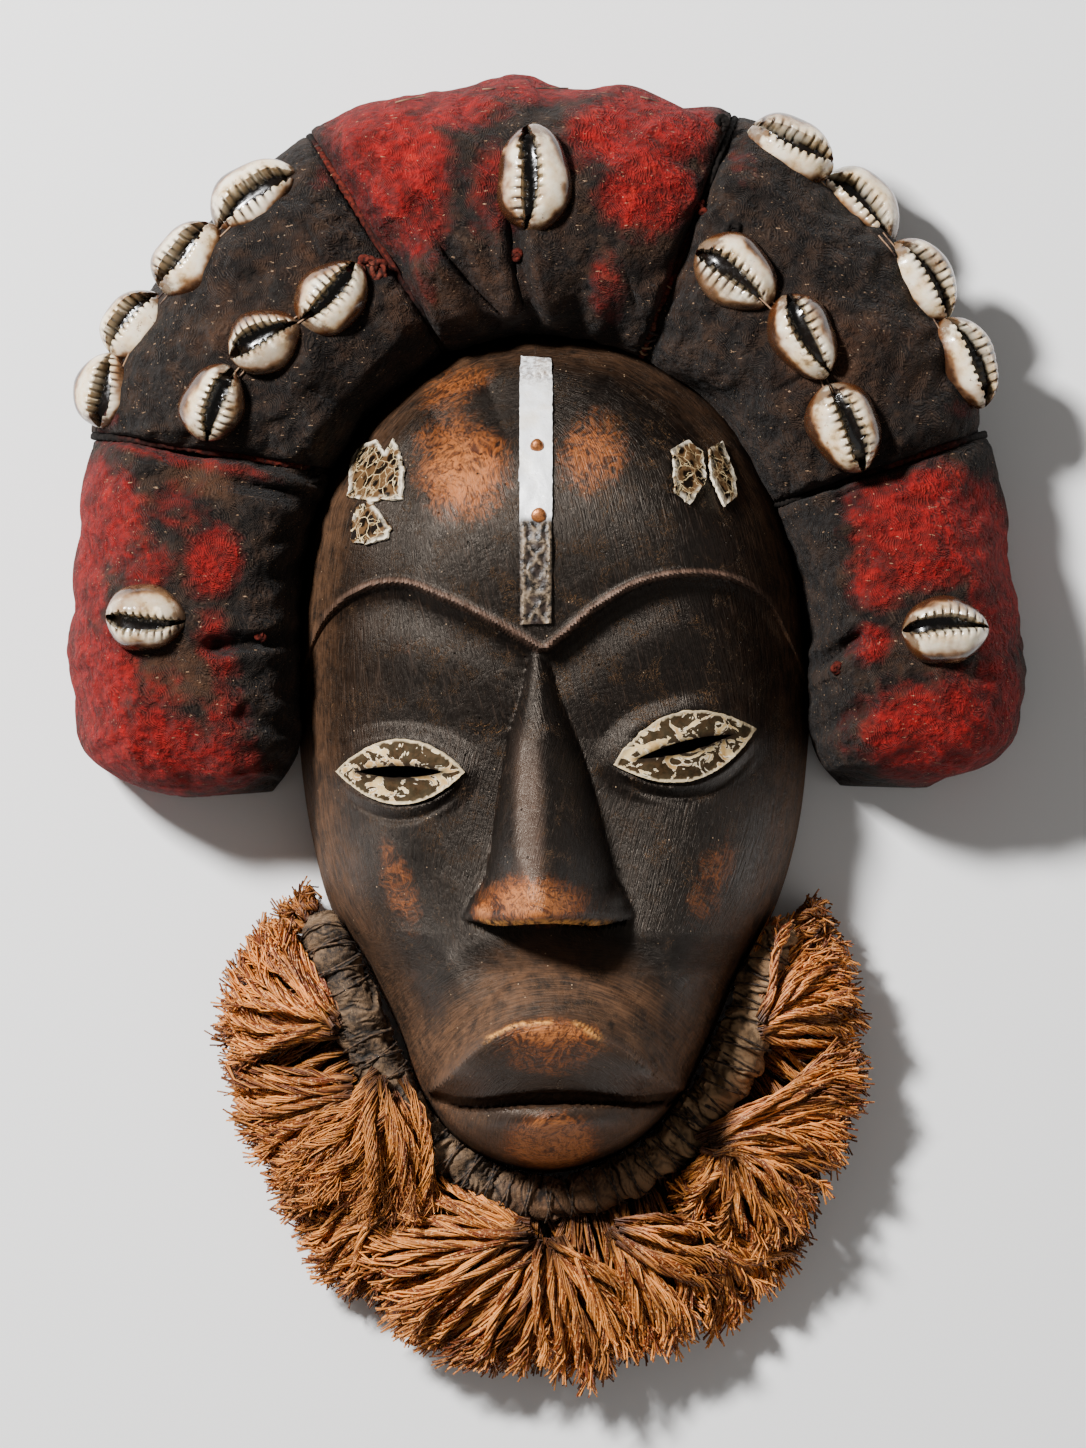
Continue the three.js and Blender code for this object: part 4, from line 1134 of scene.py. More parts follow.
def clothLook():
    look = Look("stained felted cloth", {"Roughness": 0.9, "Specular IOR Level": 0.15, "Sheen Weight": 0.03,
                                         "Sheen Roughness": 0.5})
    # fine ridges that swirl like a fingerprint: the contours of a slow noise on a slope
    x, y, z = look.split(look.place())
    slope = (x * 0.75 + y * 0.55 + z * 0.7) * 1000
    phase = look.noise(9, 1, 0.4) * 9.0 + slope + look.noise(2.6, 2, 0.5) * 1.5
    ridge = look.math("SINE", phase * (2 * math.pi * 1.75)).range(-0.9, 0.9)
    strong = look.noise(2.8, 4, 0.65).range(0.38, 0.6, 0.1, 1.0)
    pebble = look.noise(2.6, 4, 0.6)
    blotch = look.noise(17, 5, 0.62)
    small = look.noise(4.2, 5, 0.66)
    red = look.read("red") + (blotch - 0.5) * 1.7 + (small - 0.5) * 1.3
    red = red.range(0.1, 1.15) * look.read("red").range(0.02, 0.25)
    dust = (look.read("dust") * 0.75 + (look.noise(13, 5, 0.65) - 0.47) * 1.5).range(0.12, 1.0)
    char = look.mix(pebble.range(0.3, 0.7), "#0A0807", "#18120F")
    char = look.mix(look.noise(7, 5, 0.65).range(0.42, 0.66) * 0.85, char, "#33241A")
    char = look.mix(dust * 0.85, char, "#4A2F1E")
    bright = look.mix(pebble.range(0.3, 0.7), "#520A09", "#911413")
    bright = look.mix(look.noise(7, 4, 0.6).range(0.55, 0.8), bright, "#A62218")
    bright = look.mix(look.noise(9, 5, 0.7).range(0.47, 0.66) * 0.75, bright, "#2E0C08")
    bright = look.mix(look.read("red").range(0.75, 0.35, 0.0, 0.55), bright, "#3B1810")
    base = look.mix(red, char, bright)
    # painted highlight on the crests of the fine ridges and painted shade in their troughs
    base = look.mix(ridge.range(0.6, 1.0) * strong * 0.17, base, look.mix(red, "#5F4F42", "#C8473A"))
    base = look.mix(ridge.range(0.45, 0.0) * strong * 0.36, base, look.mix(red, "#060505", "#4A0705"))
    # painted shade in the creases
    base = look.mix(look.read("creaseShade") * 0.6, base, "#0B0807")
    specks = look.cells(2.1).range(0.13, 0.06) * look.noise(8, 2).range(0.5, 0.6)
    base = look.mix(specks * 0.55, base, "#A08F78")
    fibres = look.noise(0.7, 2, 0.5, look.place((0.25, 1, 1), (0, 0, 0.6))).range(0.69, 0.75)
    base = look.mix(fibres * 0.5, base, "#C9A27E")
    relief = ridge * strong * 0.24 + pebble * 2.0 + look.noise(0.5, 3, 0.6) * 0.2
    return look.finish(base, relief, 1.3)


clothCoat = clothLook()
headdress = {name: buildSection(name) for name in sections}
print("headdress stuffed")


# the cowries, slit outwards

shellShape = {
    "height": 9, "sunk": 6, "upright": 2, "teeth": 11, "toothRise": 0.3, "broadReach": 0.55,
    "smoothReach": (0.18, 0.3),
    "slit": (0.23, 0.33), "slitDepth": 5.5, "bend": 0.09, "steps": 96, "turns": 76,
    "stained": {"leftInner2": -1, "rightInner1": -1, "leftLobe": 1},  # which lip is weathered to brown
}


def shellPoints(name, length, width, seed):
    r = np.random.default_rng(seed)
    steps, turns = shellShape["steps"], shellShape["turns"]
    u = np.linspace(-1, 1, steps + 2)[1:-1]
    u = 0.4 * np.sin(u * math.pi / 2) + 0.6 * u
    # samples crowd round the slit, at the top of the turn
    q = np.linspace(0, 1, turns, endpoint=False)
    turn = 2 * math.pi * q + 0.62 * np.sin(4 * math.pi * q)
    uu, tt = np.meshgrid(u, turn, indexing="ij")
    lean, plump = r.uniform(-0.06, 0.06), r.uniform(1.03, 1.1)
    c, s = np.cos(tt), np.sin(tt)
    half = width / 2 * np.maximum(0, 1 - np.abs(uu) ** 2.2) ** 0.6 * (1 - 0.13 * uu + lean * uu ** 2)
    half = half * plump * (1 + 0.035 * np.sin(uu * 5 + seed + np.sign(c)))
    rise = (shellShape["height"] - 0.6) * np.maximum(0, 1 - np.abs(uu) ** 3.4) ** 0.6
    y = half * np.sign(c) * np.abs(c) ** 0.88
    under = shellShape["sunk"] * np.abs(s) ** 0.75 * np.maximum(0, 1 - uu ** 2) ** 0.6
    z = np.where(s > 0, rise * np.abs(s) ** 0.78, -under)
    top = softStep(s, 0.02, 0.3)

    # two lips roll into a curved slit: one ribbed a long way out, the other with short teeth
    ribbed = 1 if seed % 3 else -1
    middle = width * shellShape["bend"] * (uu ** 2 - 0.4) * r.choice([-1, 1]) + width * 0.07 * ribbed
    off = (y - middle) / np.maximum(half, 0.6)
    away = np.abs(off)
    broadSide = np.sign(off) == ribbed
    spread = np.where(broadSide, 0.85, 0.3) * away * np.sin(uu * 1.4) * 2.2
    phase = uu * shellShape["teeth"] * math.pi + np.where(broadSide, 0.9, 0) + seed - spread
    tooth = softStep(0.5 + 0.5 * np.cos(phase), 0.02, 0.5)
    here = softStep(np.abs(uu), 0.95, 0.82)
    widest = r.uniform(*shellShape["slit"])
    gape = widest * (1 + 0.45 * r.choice([-1, 1]) * uu) * (0.55 + 0.45 * softStep(np.abs(uu), 1.0, 0.55))
    edge = gape * (1 - np.where(broadSide, 0.14, 0.2) * tooth * here)
    slit = softStep(away, edge + 0.05, edge - 0.04) * top
    lip = hump(away, 0.42, 0.26) * top * softStep(np.abs(uu), 1, 0.5)
    reach = np.where(broadSide, shellShape["broadReach"] * (0.75 + 0.35 * np.sin(uu * 2.6 + seed)),
                     shellShape["smoothReach"][seed % 2]) + gape
    teethHere = softStep(away, reach, reach * 0.55) * softStep(away, edge - 0.02, edge + 0.04) * here * top
    z = z + 1.0 * lip - shellShape["slitDepth"] * slit * softStep(np.abs(uu), 1.02, 0.9)
    z = z + shellShape["toothRise"] * (tooth - 0.75) * teethHere * 1.6
    lipped = (np.sign(off) == shellShape["stained"].get(name, 0)) * softStep(away, edge, edge + 0.08) * top
    # rim: brown stain at the shell's edges and painted shade on its low sides and underneath
    marks = {"slit": slit, "groove": teethHere * (1 - tooth), "rim": softStep(np.abs(c), 0.42, 0.97) + (s < 0),
             "tip": softStep(np.abs(uu + 0.1 * r.choice([-1, 1])), 0.55, 1.0), "weathered": lipped}
    return np.stack([uu * length / 2, y, z], -1), marks


def groundUnder(x, y, reach=6.0):
    # place and facing of the cloth under a point in plan, evened out over the shell's own size
    spots = [(0, 0)] + [(reach * math.cos(a), reach * math.sin(a)) for a in np.arange(8) * math.pi / 4]
    hits = []
    for dx, dy in spots:
        for obj in headdress.values():
            hit, where, normal, _ = obj.ray_cast(Vector(((x + dx) * mm, (y + dy) * mm, 0.2)), Vector((0, 0, -1)))
            if hit and where.z > 0.012:
                hits.append((np.array(where) / mm, np.array(normal), dx == 0 and dy == 0))
    facing = sum(n for _, n, _ in hits)
    facing = facing / np.linalg.norm(facing) + np.array([0, 0, shellShape["upright"]])
    middle = max((p for p, _, first in hits if first), key=lambda p: p[2])
    return middle, facing / np.linalg.norm(facing)


def buildShell(name, seed):
    shell = shells[name]
    length, width = shell["size"]
    points, marks = shellPoints(name, length, width, seed)
    steps, turns = points.shape[:2]
    node = nodeName("cowrie_", name)
    ground, facing = groundUnder(*shell["at"])
    low, high = (np.array(corner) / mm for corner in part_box(node))
    turn = math.radians(shell["angle"])
    axis = np.array([math.cos(turn), math.sin(turn), 0])
    axis[2] = -(facing[0] * axis[0] + facing[1] * axis[1]) / facing[2]
    axis /= np.linalg.norm(axis)
    side = np.cross(facing, axis)
    flat = np.vstack([points.reshape(-1, 3), [[-length / 2, 0, 0.6], [length / 2, 0, 0.6]]])
    world = ground + flat[:, :1] * axis + flat[:, 1:2] * side + (flat[:, 2:] - 0.3) * facing
    # the shell keeps the middle of the solid it stands for
    world[:, :2] += 0.5 * ((low + high) / 2 - (world.min(axis=0) + world.max(axis=0)) / 2)[:2]
    faces = gridFaces(steps, turns, True)
    last = (steps - 1) * turns
    for i in range(turns):
        faces.append((steps * turns, (i + 1) % turns, i))
        faces.append((steps * turns + 1, last + i, last + (i + 1) % turns))
    obj = makeMesh(name + "Cowrie", world, faces)
    for mark, values in marks.items():
        paint(obj, mark, np.append(values.ravel(), [0, 0]))
    paint(obj, "kind", np.full(len(world), (seed * 0.37) % 1.0))
    faceOut(obj)
    smoothBut(obj, 60)
    dress(obj, shellCoat)
    finishPiece(obj, "shell", node)
    return obj


def shellLook():
    look = Look("glossy cowrie", {"Coat Weight": 0.3, "Coat Roughness": 0.1, "Subsurface Weight": 0.06,
                                  "Subsurface Scale": 0.002})
    cloud = look.noise(6, 4, 0.6)
    fleck = look.noise(1.8, 5, 0.7)
    base = look.mix(cloud.range(0.35, 0.7), "#FFEFD3", "#E8C896")
    rim = look.read("rim") + (look.noise(10, 3, 0.6) - 0.5) * 2.2 + look.read("kind") * 0.12
    # brown edges, darkest low on the sides and underneath: stain and painted shade
    base = look.mix(rim.range(0.02, 0.75) * 0.9, base, "#8A5A30")
    base = look.mix(rim.range(0.42, 1.0) * 0.94, base, "#2B1409")
    tip = look.read("tip") + (cloud - 0.5) * 3.2
    base = look.mix(tip.range(0.22, 0.9) * 0.85, base, "#4A2812")
    spots = fleck.range(0.58, 0.65) * look.noise(7, 2).range(0.5, 0.6)
    base = look.mix(spots * 0.8, base, "#6E4526")
    old = look.read("weathered") * look.noise(4, 4, 0.6).range(0.36, 0.5)
    base = look.mix(old * 0.5, base, "#7A5C42")
    base = look.mix(look.read("groove"), base, "#2A160B")
    # painted shade: the slit near black
    base = look.mix(look.read("slit"), base, "#0C0603")
    return look.finish(base, fleck, 0.1, 0.5, fleck.range(0.35, 0.75, 0.14, 0.36))


shellCoat = shellLook()
cowries = {name: buildShell(name, seed) for seed, name in enumerate(shells, 3)}
print("cowries sewn on:", len(cowries))


# metal on the face: eye plates, forehead strip with its two nails, and scraps on the temples

metal = {"thickness": 0.7, "lift": 0.45, "grain": 0.75, "nailSides": 28}
strip = {"left": -7.5, "right": 1.5, "bottom": 31.3, "top": 107, "embossFrom": 60.5, "pitch": 7.2}
nails = {"upper": {"at": (-2.8, 81), "radius": 1.9, "height": 1.5},
         "lower": {"at": (-2.3, 61.5), "radius": 2.1, "height": 0.8}}
nailProfile = [(0.98, -0.35), (1.0, 0.1), (0.97, 0.32), (0.86, 0.62), (0.66, 0.85), (0.4, 0.97), (0.15, 1.0)]
templePlates = {
    "leftUpperTemple": [(-55, 79), (-52, 82.5), (-48, 83.5), (-45.5, 79.5), (-43, 83.5), (-40, 75.5),
                        (-40.5, 66.5), (-49.5, 66), (-56, 67.5)],
    "leftLowerTemple": [(-53, 65), (-49, 65.5), (-43.5, 58), (-44.5, 55.5), (-50, 54), (-54.5, 54.5),
                        (-55, 59.5)],
    "rightInnerTemple": [(35, 80.5), (39.5, 83), (43.5, 80), (44.5, 72), (40, 65), (36, 68)],
    "rightOuterTemple": [(45.5, 81), (49.5, 83), (53, 73), (53, 67.5), (49.5, 64.5), (46, 73)],
}


def denseLine(outline, step, ragged=0.0, seed=0):
    # an outline as close points, torn a little
    r = np.random.default_rng(seed)
    line = []
    for a, b in zip(outline, list(outline[1:]) + [outline[0]]):
        a, b = np.array(a, float), np.array(b, float)
        count = max(1, int(round(np.linalg.norm(b - a) / step)))
        line += [a + (b - a) * i / count for i in range(count)]
    line = np.array(line)
    return line + r.normal(0, ragged, line.shape) if ragged else line


def sheetOver(name, outline, heightOf, hole=None):
    # a thin sheet inside an outline, following a surface
    x0, y0 = outline.min(axis=0)
    x1, y1 = outline.max(axis=0)
    step = metal["grain"]
    gx, gy = np.meshgrid(np.arange(x0, x1, step), np.arange(y0, y1, step))
    gx[1::2] += step / 2
    gx, gy = gx.ravel(), gy.ravel()
    keep = depthInside(gx, gy, outline) > step * 0.5
    if hole is not None:
        keep &= depthInside(gx, gy, hole) < -step * 0.5
    loops = [outline] if hole is None else [outline, hole]
    points = [Vector(p) for loop in loops for p in loop] + [Vector(p) for p in zip(gx[keep], gy[keep])]
    edges, start = [], 0
    for loop in loops:
        edges += [(start + i, start + (i + 1) % len(loop)) for i in range(len(loop))]
        start += len(loop)
    flat, _, faces, _, _, _ = delaunay_2d_cdt(points, edges, [], 1, 1e-6)
    x, y = np.array([tuple(v) for v in flat]).T
    faces = np.array([f for f in faces if len(f) == 3])
    middleX, middleY = x[faces].mean(axis=1), y[faces].mean(axis=1)
    inside = insideOutline(middleX, middleY, outline)
    if hole is not None:
        inside &= ~insideOutline(middleX, middleY, hole)
    faces = faces[inside]
    a, b, c = faces.T
    turned = (x[b] - x[a]) * (y[c] - y[a]) - (y[b] - y[a]) * (x[c] - x[a]) < 0
    faces[turned] = faces[turned][:, ::-1]
    obj = makeMesh(name, np.column_stack([x, y, heightOf(x, y)]), faces)
    wall = obj.modifiers.new("thickness", "SOLIDIFY")
    wall.thickness = metal["thickness"] * mm
    wall.offset = -1
    applyModifiers(obj)
    smoothBut(obj, 38)
    return obj


def onFace(x, y):
    # the top of a plate that lies on the wood
    return faceHeight(x, y) + metal["lift"] + metal["thickness"]


def finishSheet(obj, outline, reach, coat, slot, node):
    # the rim is lighter within a reach of the outline
    x, y, _ = pointsOf(obj).T
    paint(obj, "rim", softStep(np.abs(depthInside(x, y, outline)), *reach))
    dress(obj, coat)
    return finishPiece(obj, slot, node)


def eyeSheet(side):
    eye = eyes[side]
    outline = denseLine(lensLine(eye, eye["length"] * 0.985, eye["height"] * 0.985, 18), 0.7, 0.05, 4)
    hole = denseLine(lensLine(eye, eye["slit"], eyes["slitHeight"], 14), 0.6)
    dents, fine = Ripple(11, 6), Ripple(12, 2.2)

    def heightOf(x, y):
        along, across = eyeFrame(eye, x, y)
        inward = depthInside(x, y, outline)
        bulge = 1.5 * np.maximum(0, 1 - along ** 2) * np.maximum(0, 1 - across ** 2)
        rim = 0.45 * softStep(inward, 1.1, 0.3)
        return onFace(x, y) + bulge + rim + 0.16 * dents(x, y) + 0.06 * fine(x, y)

    obj = sheetOver(side + "EyePlate", outline, heightOf, hole)
    x, y, _ = pointsOf(obj).T
    paint(obj, "slit", softStep(np.abs(depthInside(x, y, hole)), 1.6, 0.2))
    return finishSheet(obj, outline, (1.3, 0.5), eyeCoat, "aged_metal", side + "_eye_plate")


def emboss(x, y):
    # diamonds between two rims, with a bead in each and a bar across at every second one
    pitch = strip["pitch"]
    aside = x - (strip["left"] + strip["right"]) / 2
    off = np.abs(aside)
    low = strip["embossFrom"] - y
    zig = np.abs(((low / pitch) % 1) - 0.5) * 2 * 2.7
    diamond = hump(off, zig, 0.42) * softStep(off, 3.3, 2.8)
    beads = hump(np.hypot(aside, ((low / pitch) % 1 - 0.5) * pitch), 0, 0.8)
    bars = hump((((low + 1.0) / (2 * pitch)) % 1 - 0.5) * (2 * pitch), 0, 0.45) * softStep(off, 3.4, 3.0)
    marks = np.maximum.reduce([hump(off, 3.5, 0.45), 0.85 * diamond, 0.7 * beads, 0.8 * bars])
    return marks * softStep(low, -0.5, 1.2)


def buildStrip():
    left, right, bottom, top = (strip[side] for side in ("left", "right", "bottom", "top"))
    box = [(left, bottom), (right - 0.2, bottom + 0.4), (right, top - 8), (right - 0.3, top - 0.8),
           (left + 0.3, top), (left - 0.1, top - 9)]
    outline = denseLine(box, 0.8, 0.07, 5)
    dents, fine = Ripple(21, 5), Ripple(22, 2.4)

    def heightOf(x, y):
        crumple = softStep(y, 96, 103)
        pleats = 0.5 * np.abs(np.sin(y * 1.15 + 0.6 * np.sin(x * 0.9))) * crumple
        uneven = 0.14 * dents(x, y * 0.6) + 0.05 * fine(x, y) + 0.35 * crumple * fine(x, y)
        buckle = 0.5 * hump(y, 92, 1.2) + 0.4 * hump(y, 99, 0.9)
        return onFace(x, y) + uneven + pleats + buckle + 0.5 * emboss(x, y)

    obj = sheetOver("foreheadStrip", outline, heightOf)
    x, y, _ = pointsOf(obj).T
    paint(obj, "raised", emboss(x, y))
    paint(obj, "dark", softStep(y, strip["embossFrom"] + 1.5, strip["embossFrom"] - 1))
    paint(obj, "crumpled", softStep(y, 96, 102))
    dress(obj, stripCoat)
    return finishPiece(obj, "bright_metal", "forehead_strip")


def buildTemple(name, seed):
    outline = denseLine(templePlates[name], 0.8, 0.16, seed)
    facets, fine = Ripple(seed + 40, 7), Ripple(seed + 60, 2.6)

    def heightOf(x, y):
        curl = 0.5 * softStep(depthInside(x, y, outline), 1.3, 0.1)
        return onFace(x, y) + 0.35 * np.abs(facets(x, y)) + 0.1 * fine(x, y) + curl

    obj = sheetOver(name + "Plate", outline, heightOf)
    return finishSheet(obj, outline, (1.1, 0.25), templeCoat, "aged_metal", nodeName("", name) + "_plate")


def buildNail(name):
    nail = nails[name]
    x, y = nail["at"]
    seat = onFace(np.array([x]), np.array([y]))[0] + 0.1
    sides, rings = metal["nailSides"], []
    turn = np.arange(sides) / sides * 2 * math.pi
    for reach, up in nailProfile:
        out = nail["radius"] * reach * (1 + 0.04 * np.sin(3 * turn + x))
        rings.append(np.column_stack([x + out * np.cos(turn), y + out * np.sin(turn),
                                      np.full(sides, seat + nail["height"] * up)]))
    obj = makeMesh(name + "Nail", np.vstack(rings), tubeFaces(len(rings), sides))
    faceOut(obj)
    smoothBut(obj, 50)
    dress(obj, nailCoat)
    return finishPiece(obj, "nail", "strip_nail_" + name)


def eyeLook():
    look = Look("worn painted tin", {"Specular IOR Level": 0.1})
    leaf = look.noise(5.6, 3, 0.58, look.place((0.8, 1.3, 1), (0, 0, 0.5)), distortion=1.3)
    flake = leaf.range(0.46, 0.475)
    edge = leaf.range(0.43, 0.455) * leaf.range(0.48, 0.46)
    base = look.mix(look.noise(5, 4, 0.6).range(0.35, 0.65), "#E2C48C", "#B88E54")
    base = look.mix(edge * 0.7, base, "#FFF1D6")
    dark = look.mix(look.noise(1.6, 3, 0.6).range(0.4, 0.6), "#0C0805", "#2A1C11")
    base = look.mix(flake * 0.95, base, dark)
    base = look.mix(look.read("rim").range(0.45, 1.0, 0.0, 0.75), base, "#E2CBA2")
    base = look.mix(look.read("slit") * 0.8, base, "#1A110B")
    return look.finish(base, leaf - flake * 0.3, 0.35, 0.7, leaf.range(0.43, 0.5, 0.45, 0.8))


def stripLook():
    look = Look("beaten white metal", {"Metallic": 0.05})
    cloud = look.noise(9, 4, 0.6)
    fine = look.noise(1.5, 5, 0.7)
    base = look.mix(cloud.range(0.4, 0.75), "#FFFFFF", "#F2E8D8")
    base = look.mix(fine.range(0.6, 0.75) * 0.5, base, "#8A6B4A")
    warm = look.read("crumpled") * fine.range(0.4, 0.6)
    base = look.mix(warm * 0.7, base, "#6E5238")
    ground = look.mix(look.noise(3, 4, 0.6).range(0.4, 0.6), "#0C0806", "#2C2019")
    carved = look.mix(look.read("raised") * fine.range(0.36, 0.6), ground, "#A08A70")
    base = look.mix(look.read("dark"), base, carved)
    return look.finish(base, fine + cloud * 0.8, 0.3, 0.8, fine.range(0.3, 0.7, 0.26, 0.5))


def templeLook():
    look = Look("flaked tarnished metal", {"Specular IOR Level": 0.15})
    warped = look.place(warp=look.noise(3, 3, output="Color"), warpBy=0.002)
    patch = look.cells(3.2, at=warped)
    leaf = look.noise(7, 3, 0.6, distortion=1.2)
    net = look.cells(4.4, "DISTANCE_TO_EDGE", warped).range(0.035, 0.015)
    base = look.mix(leaf.range(0.3, 0.33), "#E8D0A2", "#140D08")
    crack = abs(leaf - 0.57).range(0.012, 0.004)
    base = look.mix(look.math("MAXIMUM", crack, net) * 0.85, base, "#E3C896")
    base = look.mix(patch.range(0.42, 0.6) * 0.5, base, "#7A5A3A")
    base = look.mix(look.read("rim") * leaf.range(0.6, 0.45), base, "#F5E6CB")
    return look.finish(base, leaf + patch, 0.45, 0.9, leaf.range(0.4, 0.6, 0.28, 0.55))


def nailLook():
    look = Look("copper nail", {"Metallic": 0.7})
    fine = look.noise(1.0, 4, 0.7)
    base = look.mix(fine.range(0.4, 0.7), "#B5703F", "#4A2C1A")
    return look.finish(base, fine, 0.2, 0.6, fine.range(0.3, 0.7, 0.25, 0.55))


eyeCoat, stripCoat, templeCoat, nailCoat = eyeLook(), stripLook(), templeLook(), nailLook()
eyePlates = [eyeSheet(side) for side in ("left", "right")]
foreheadStrip = buildStrip()
temples = [buildTemple(name, seed) for seed, name in enumerate(templePlates, 2)]
stripNails = [buildNail(name) for name in nails]
print("metal fitted:", len(eyePlates) + 1 + len(temples) + len(stripNails), "pieces")


# the jaw cord: a core wound with overlapping creased strips of cloth, and netted with twine

cordShape = {
    # x, y, height of its middle, radius
    "route": [(-63.5, -50, 20, 7), (-60.5, -60, 23, 8), (-56, -72, 24, 8.4), (-51, -84.5, 24, 8.2),
              (-44.5, -98, 24, 7.6), (-37, -109, 23, 7.2), (-25.5, -120, 22, 7), (-12.5, -128, 21, 6.9),
              (2, -130.2, 21, 6.9), (17.5, -126.3, 21, 7), (30.5, -119, 22, 7.1), (42, -108, 23, 7.5),
              (51, -95, 24, 8.2), (56.5, -81.5, 24, 8.4), (61, -68, 23, 8), (67, -52, 20, 7)],
    "steps": 800, "sides": 56, "turns": 26, "overlap": 1.7, "creases": 3, "creaseDepth": 0.32, "ties": 9,
    "tieDepth": 0.14, "waySteps": 400,
    # twine netting: from, to along the cord, and turns
    "nets": [(0.03, 0.13, 3), (0.2, 0.27, 2.5), (0.36, 0.5, 5), (0.5, 0.66, 6), (0.66, 0.76, 4),
             (0.72, 0.86, 5), (0.88, 0.97, 3)],
    "twine": 0.32, "twineSides": 6, "pointsPerTurn": 22,
}


def cordFrame(share):
    # the cord's middle line with its radius, and the ways out and up at each place
    route = np.array(cordShape["route"], float)
    line = curveAt(route, np.clip(share, 0, 1) * (len(route) - 1))
    steps = cordShape["waySteps"]
    way = np.gradient(curveAt(route, np.linspace(0, len(route) - 1, steps))[:, :3], axis=0)
    at = np.clip(share, 0, 1) * (steps - 1)
    forward = np.stack([np.interp(at, np.arange(steps), way[:, i]) for i in range(3)], 1)
    forward /= np.linalg.norm(forward, axis=1, keepdims=True)
    outward = np.cross(forward, (0, 0, 1))
    outward /= np.linalg.norm(outward, axis=1, keepdims=True)
    upward = np.cross(outward, forward)
    radius = line[:, 3] * (1 - 0.3 * softStep(np.minimum(share, 1 - share), 0.02, 0.0))
    tied = (0.5 + 0.5 * np.cos(share * cordShape["ties"] * 2 * math.pi)) ** 3
    return line[:, :3], outward, upward, radius * (1 - cordShape["tieDepth"] * tied)


def cordPoint(share, turn, lift):
    line, outward, upward, radius = cordFrame(share)
    reach = (radius + lift)[:, None]
    return line + outward * reach * np.cos(turn)[:, None] + upward * reach * 1.12 * np.sin(turn)[:, None]


def windings(share, turn):
    # height of the wound strips above the core, and how deep in a groove each place is
    spot = cordPoint(share, turn, 0 * share)
    a, b = spot[:, 0] + 0.8 * spot[:, 2], spot[:, 1] - 0.7 * spot[:, 2]
    drift, wobble, lump, fold = Ripple(31, 34), Ripple(32, 12), Ripple(33, 9), Ripple(34, 5)
    phase = share * cordShape["turns"] + turn / (2 * math.pi) + 0.3 * drift(a, b) + 0.13 * wobble(a, b)
    part = phase % 1
    strip = np.floor(phase)
    # a strip starts high on the one before it and slopes down to be covered by the next
    lap = softStep(part, 0.0, 0.1) * (1 - 0.85 * part)
    crease = np.cos(2 * math.pi * (part * cordShape["creases"] + 0.35 * fold(a, b) + 0.37 * strip))
    deep = cordShape["creaseDepth"] * (0.55 + 0.45 * wobble(b, a))
    height = cordShape["overlap"] * lap + deep * crease * softStep(part, 0, 0.15) + 0.35 * lump(a, b)
    # the grooves are painted dark in the material: painted shade
    groove = softStep(part, 0.12, 0.0) + softStep(part, 0.9, 1.0) + 0.6 * softStep(crease, -0.3, -1)
    return height - cordShape["overlap"], np.clip(groove, 0, 1)


def growTubes(name, lines, radius, sides, material):
    tree = Tree("twine", {"Radius": 0.0003, "Sides": 6})
    tube = tree.tube(tree.curves(), tree.ring(tree.given("Sides"), tree.given("Radius")))
    obj = guideMesh(name, lines)
    tree.run(obj, tube, material, {"Radius": radius * mm, "Sides": sides})
    return obj


def cordLook():
    look = Look("dark wound cloth", {"Roughness": 0.8})
    fine = look.noise(0.9, 5, 0.7)
    cloud = look.noise(8, 4, 0.6)
    fibre = look.noise(0.4, 3, 0.6, look.place((1, 0.3, 1), (0, 0, 0.7)))
    base = look.mix(fine.range(0.35, 0.7), "#1D150F", "#5E4832")
    base = look.mix(cloud.range(0.42, 0.66) * 0.8, base, "#876A4D")
    base = look.mix(look.read("brown"), base, "#6E4A2E")
    # painted light: the right side, in the face's shadow, painted paler
    base = look.mix(look.read("pale") * 0.8, base, "#A9855F")
    base = look.mix(fibre.range(0.6, 0.72) * 0.6, base, "#A08768")
    # painted shade in the grooves between and across the strips
    base = look.mix(look.read("groove") * 0.9, base, "#0B0806")
    return look.finish(base, fine + fibre * 0.5, 0.4, 0.9)


def twineLook():
    look = Look("dark twine", {"Roughness": 0.75})
    base = look.mix(look.noise(1.2, 3, 0.6).range(0.4, 0.65), "#1B1410", "#5E4630")
    return look.finish(base, look.noise(0.5, 2), 0.2, 0.6)


def buildCord():
    steps, sides = cordShape["steps"], cordShape["sides"]
    share, turn = (grid.ravel() for grid in np.meshgrid(
        np.linspace(0, 1, steps), np.linspace(0, 2 * math.pi, sides, endpoint=False), indexing="ij"))
    height, groove = windings(share, turn)
    points = cordPoint(share, turn, height)
    cord = makeMesh("jawCord", faceClear(points, 0.2), tubeFaces(steps, sides))
    paint(cord, "groove", groove)
    paint(cord, "brown", 0.75 * softStep(np.abs(points[:, 0] - 14), 34, 12))
    # painted light on the right side, which lies in the face's shadow
    paint(cord, "pale", softStep(points[:, 0], 8, 40))
    faceOut(cord)
    smoothBut(cord, 70)
    dress(cord, cordCoat)
    return finishPiece(cord, "cord", "jaw_cord")


def buildNets():
    # each net is two lines of twine that cross round the cord
    lines = []
    for low, high, turns in cordShape["nets"]:
        at = np.linspace(low, high, int(turns * cordShape["pointsPerTurn"]))
        for way in (1, -1):
            angle = way * (at - low) / (high - low) * turns * 2 * math.pi + low * 40
            lines.append(faceClear(cordPoint(at, angle, 0.12 + 0.3 * np.sin(at * 90)), 0.4))
    net = growTubes("cordTwine", lines, cordShape["twine"], cordShape["twineSides"], twineCoat)
    return finishPiece(net, "cord")


cordCoat, twineCoat = cordLook(), twineLook()
jawCord = buildCord()
buildNets()
print("jaw cord wound:", len(jawCord.data.polygons), "faces")


# the raffia ruff: thick twisted locks fan out from the places where they are tied

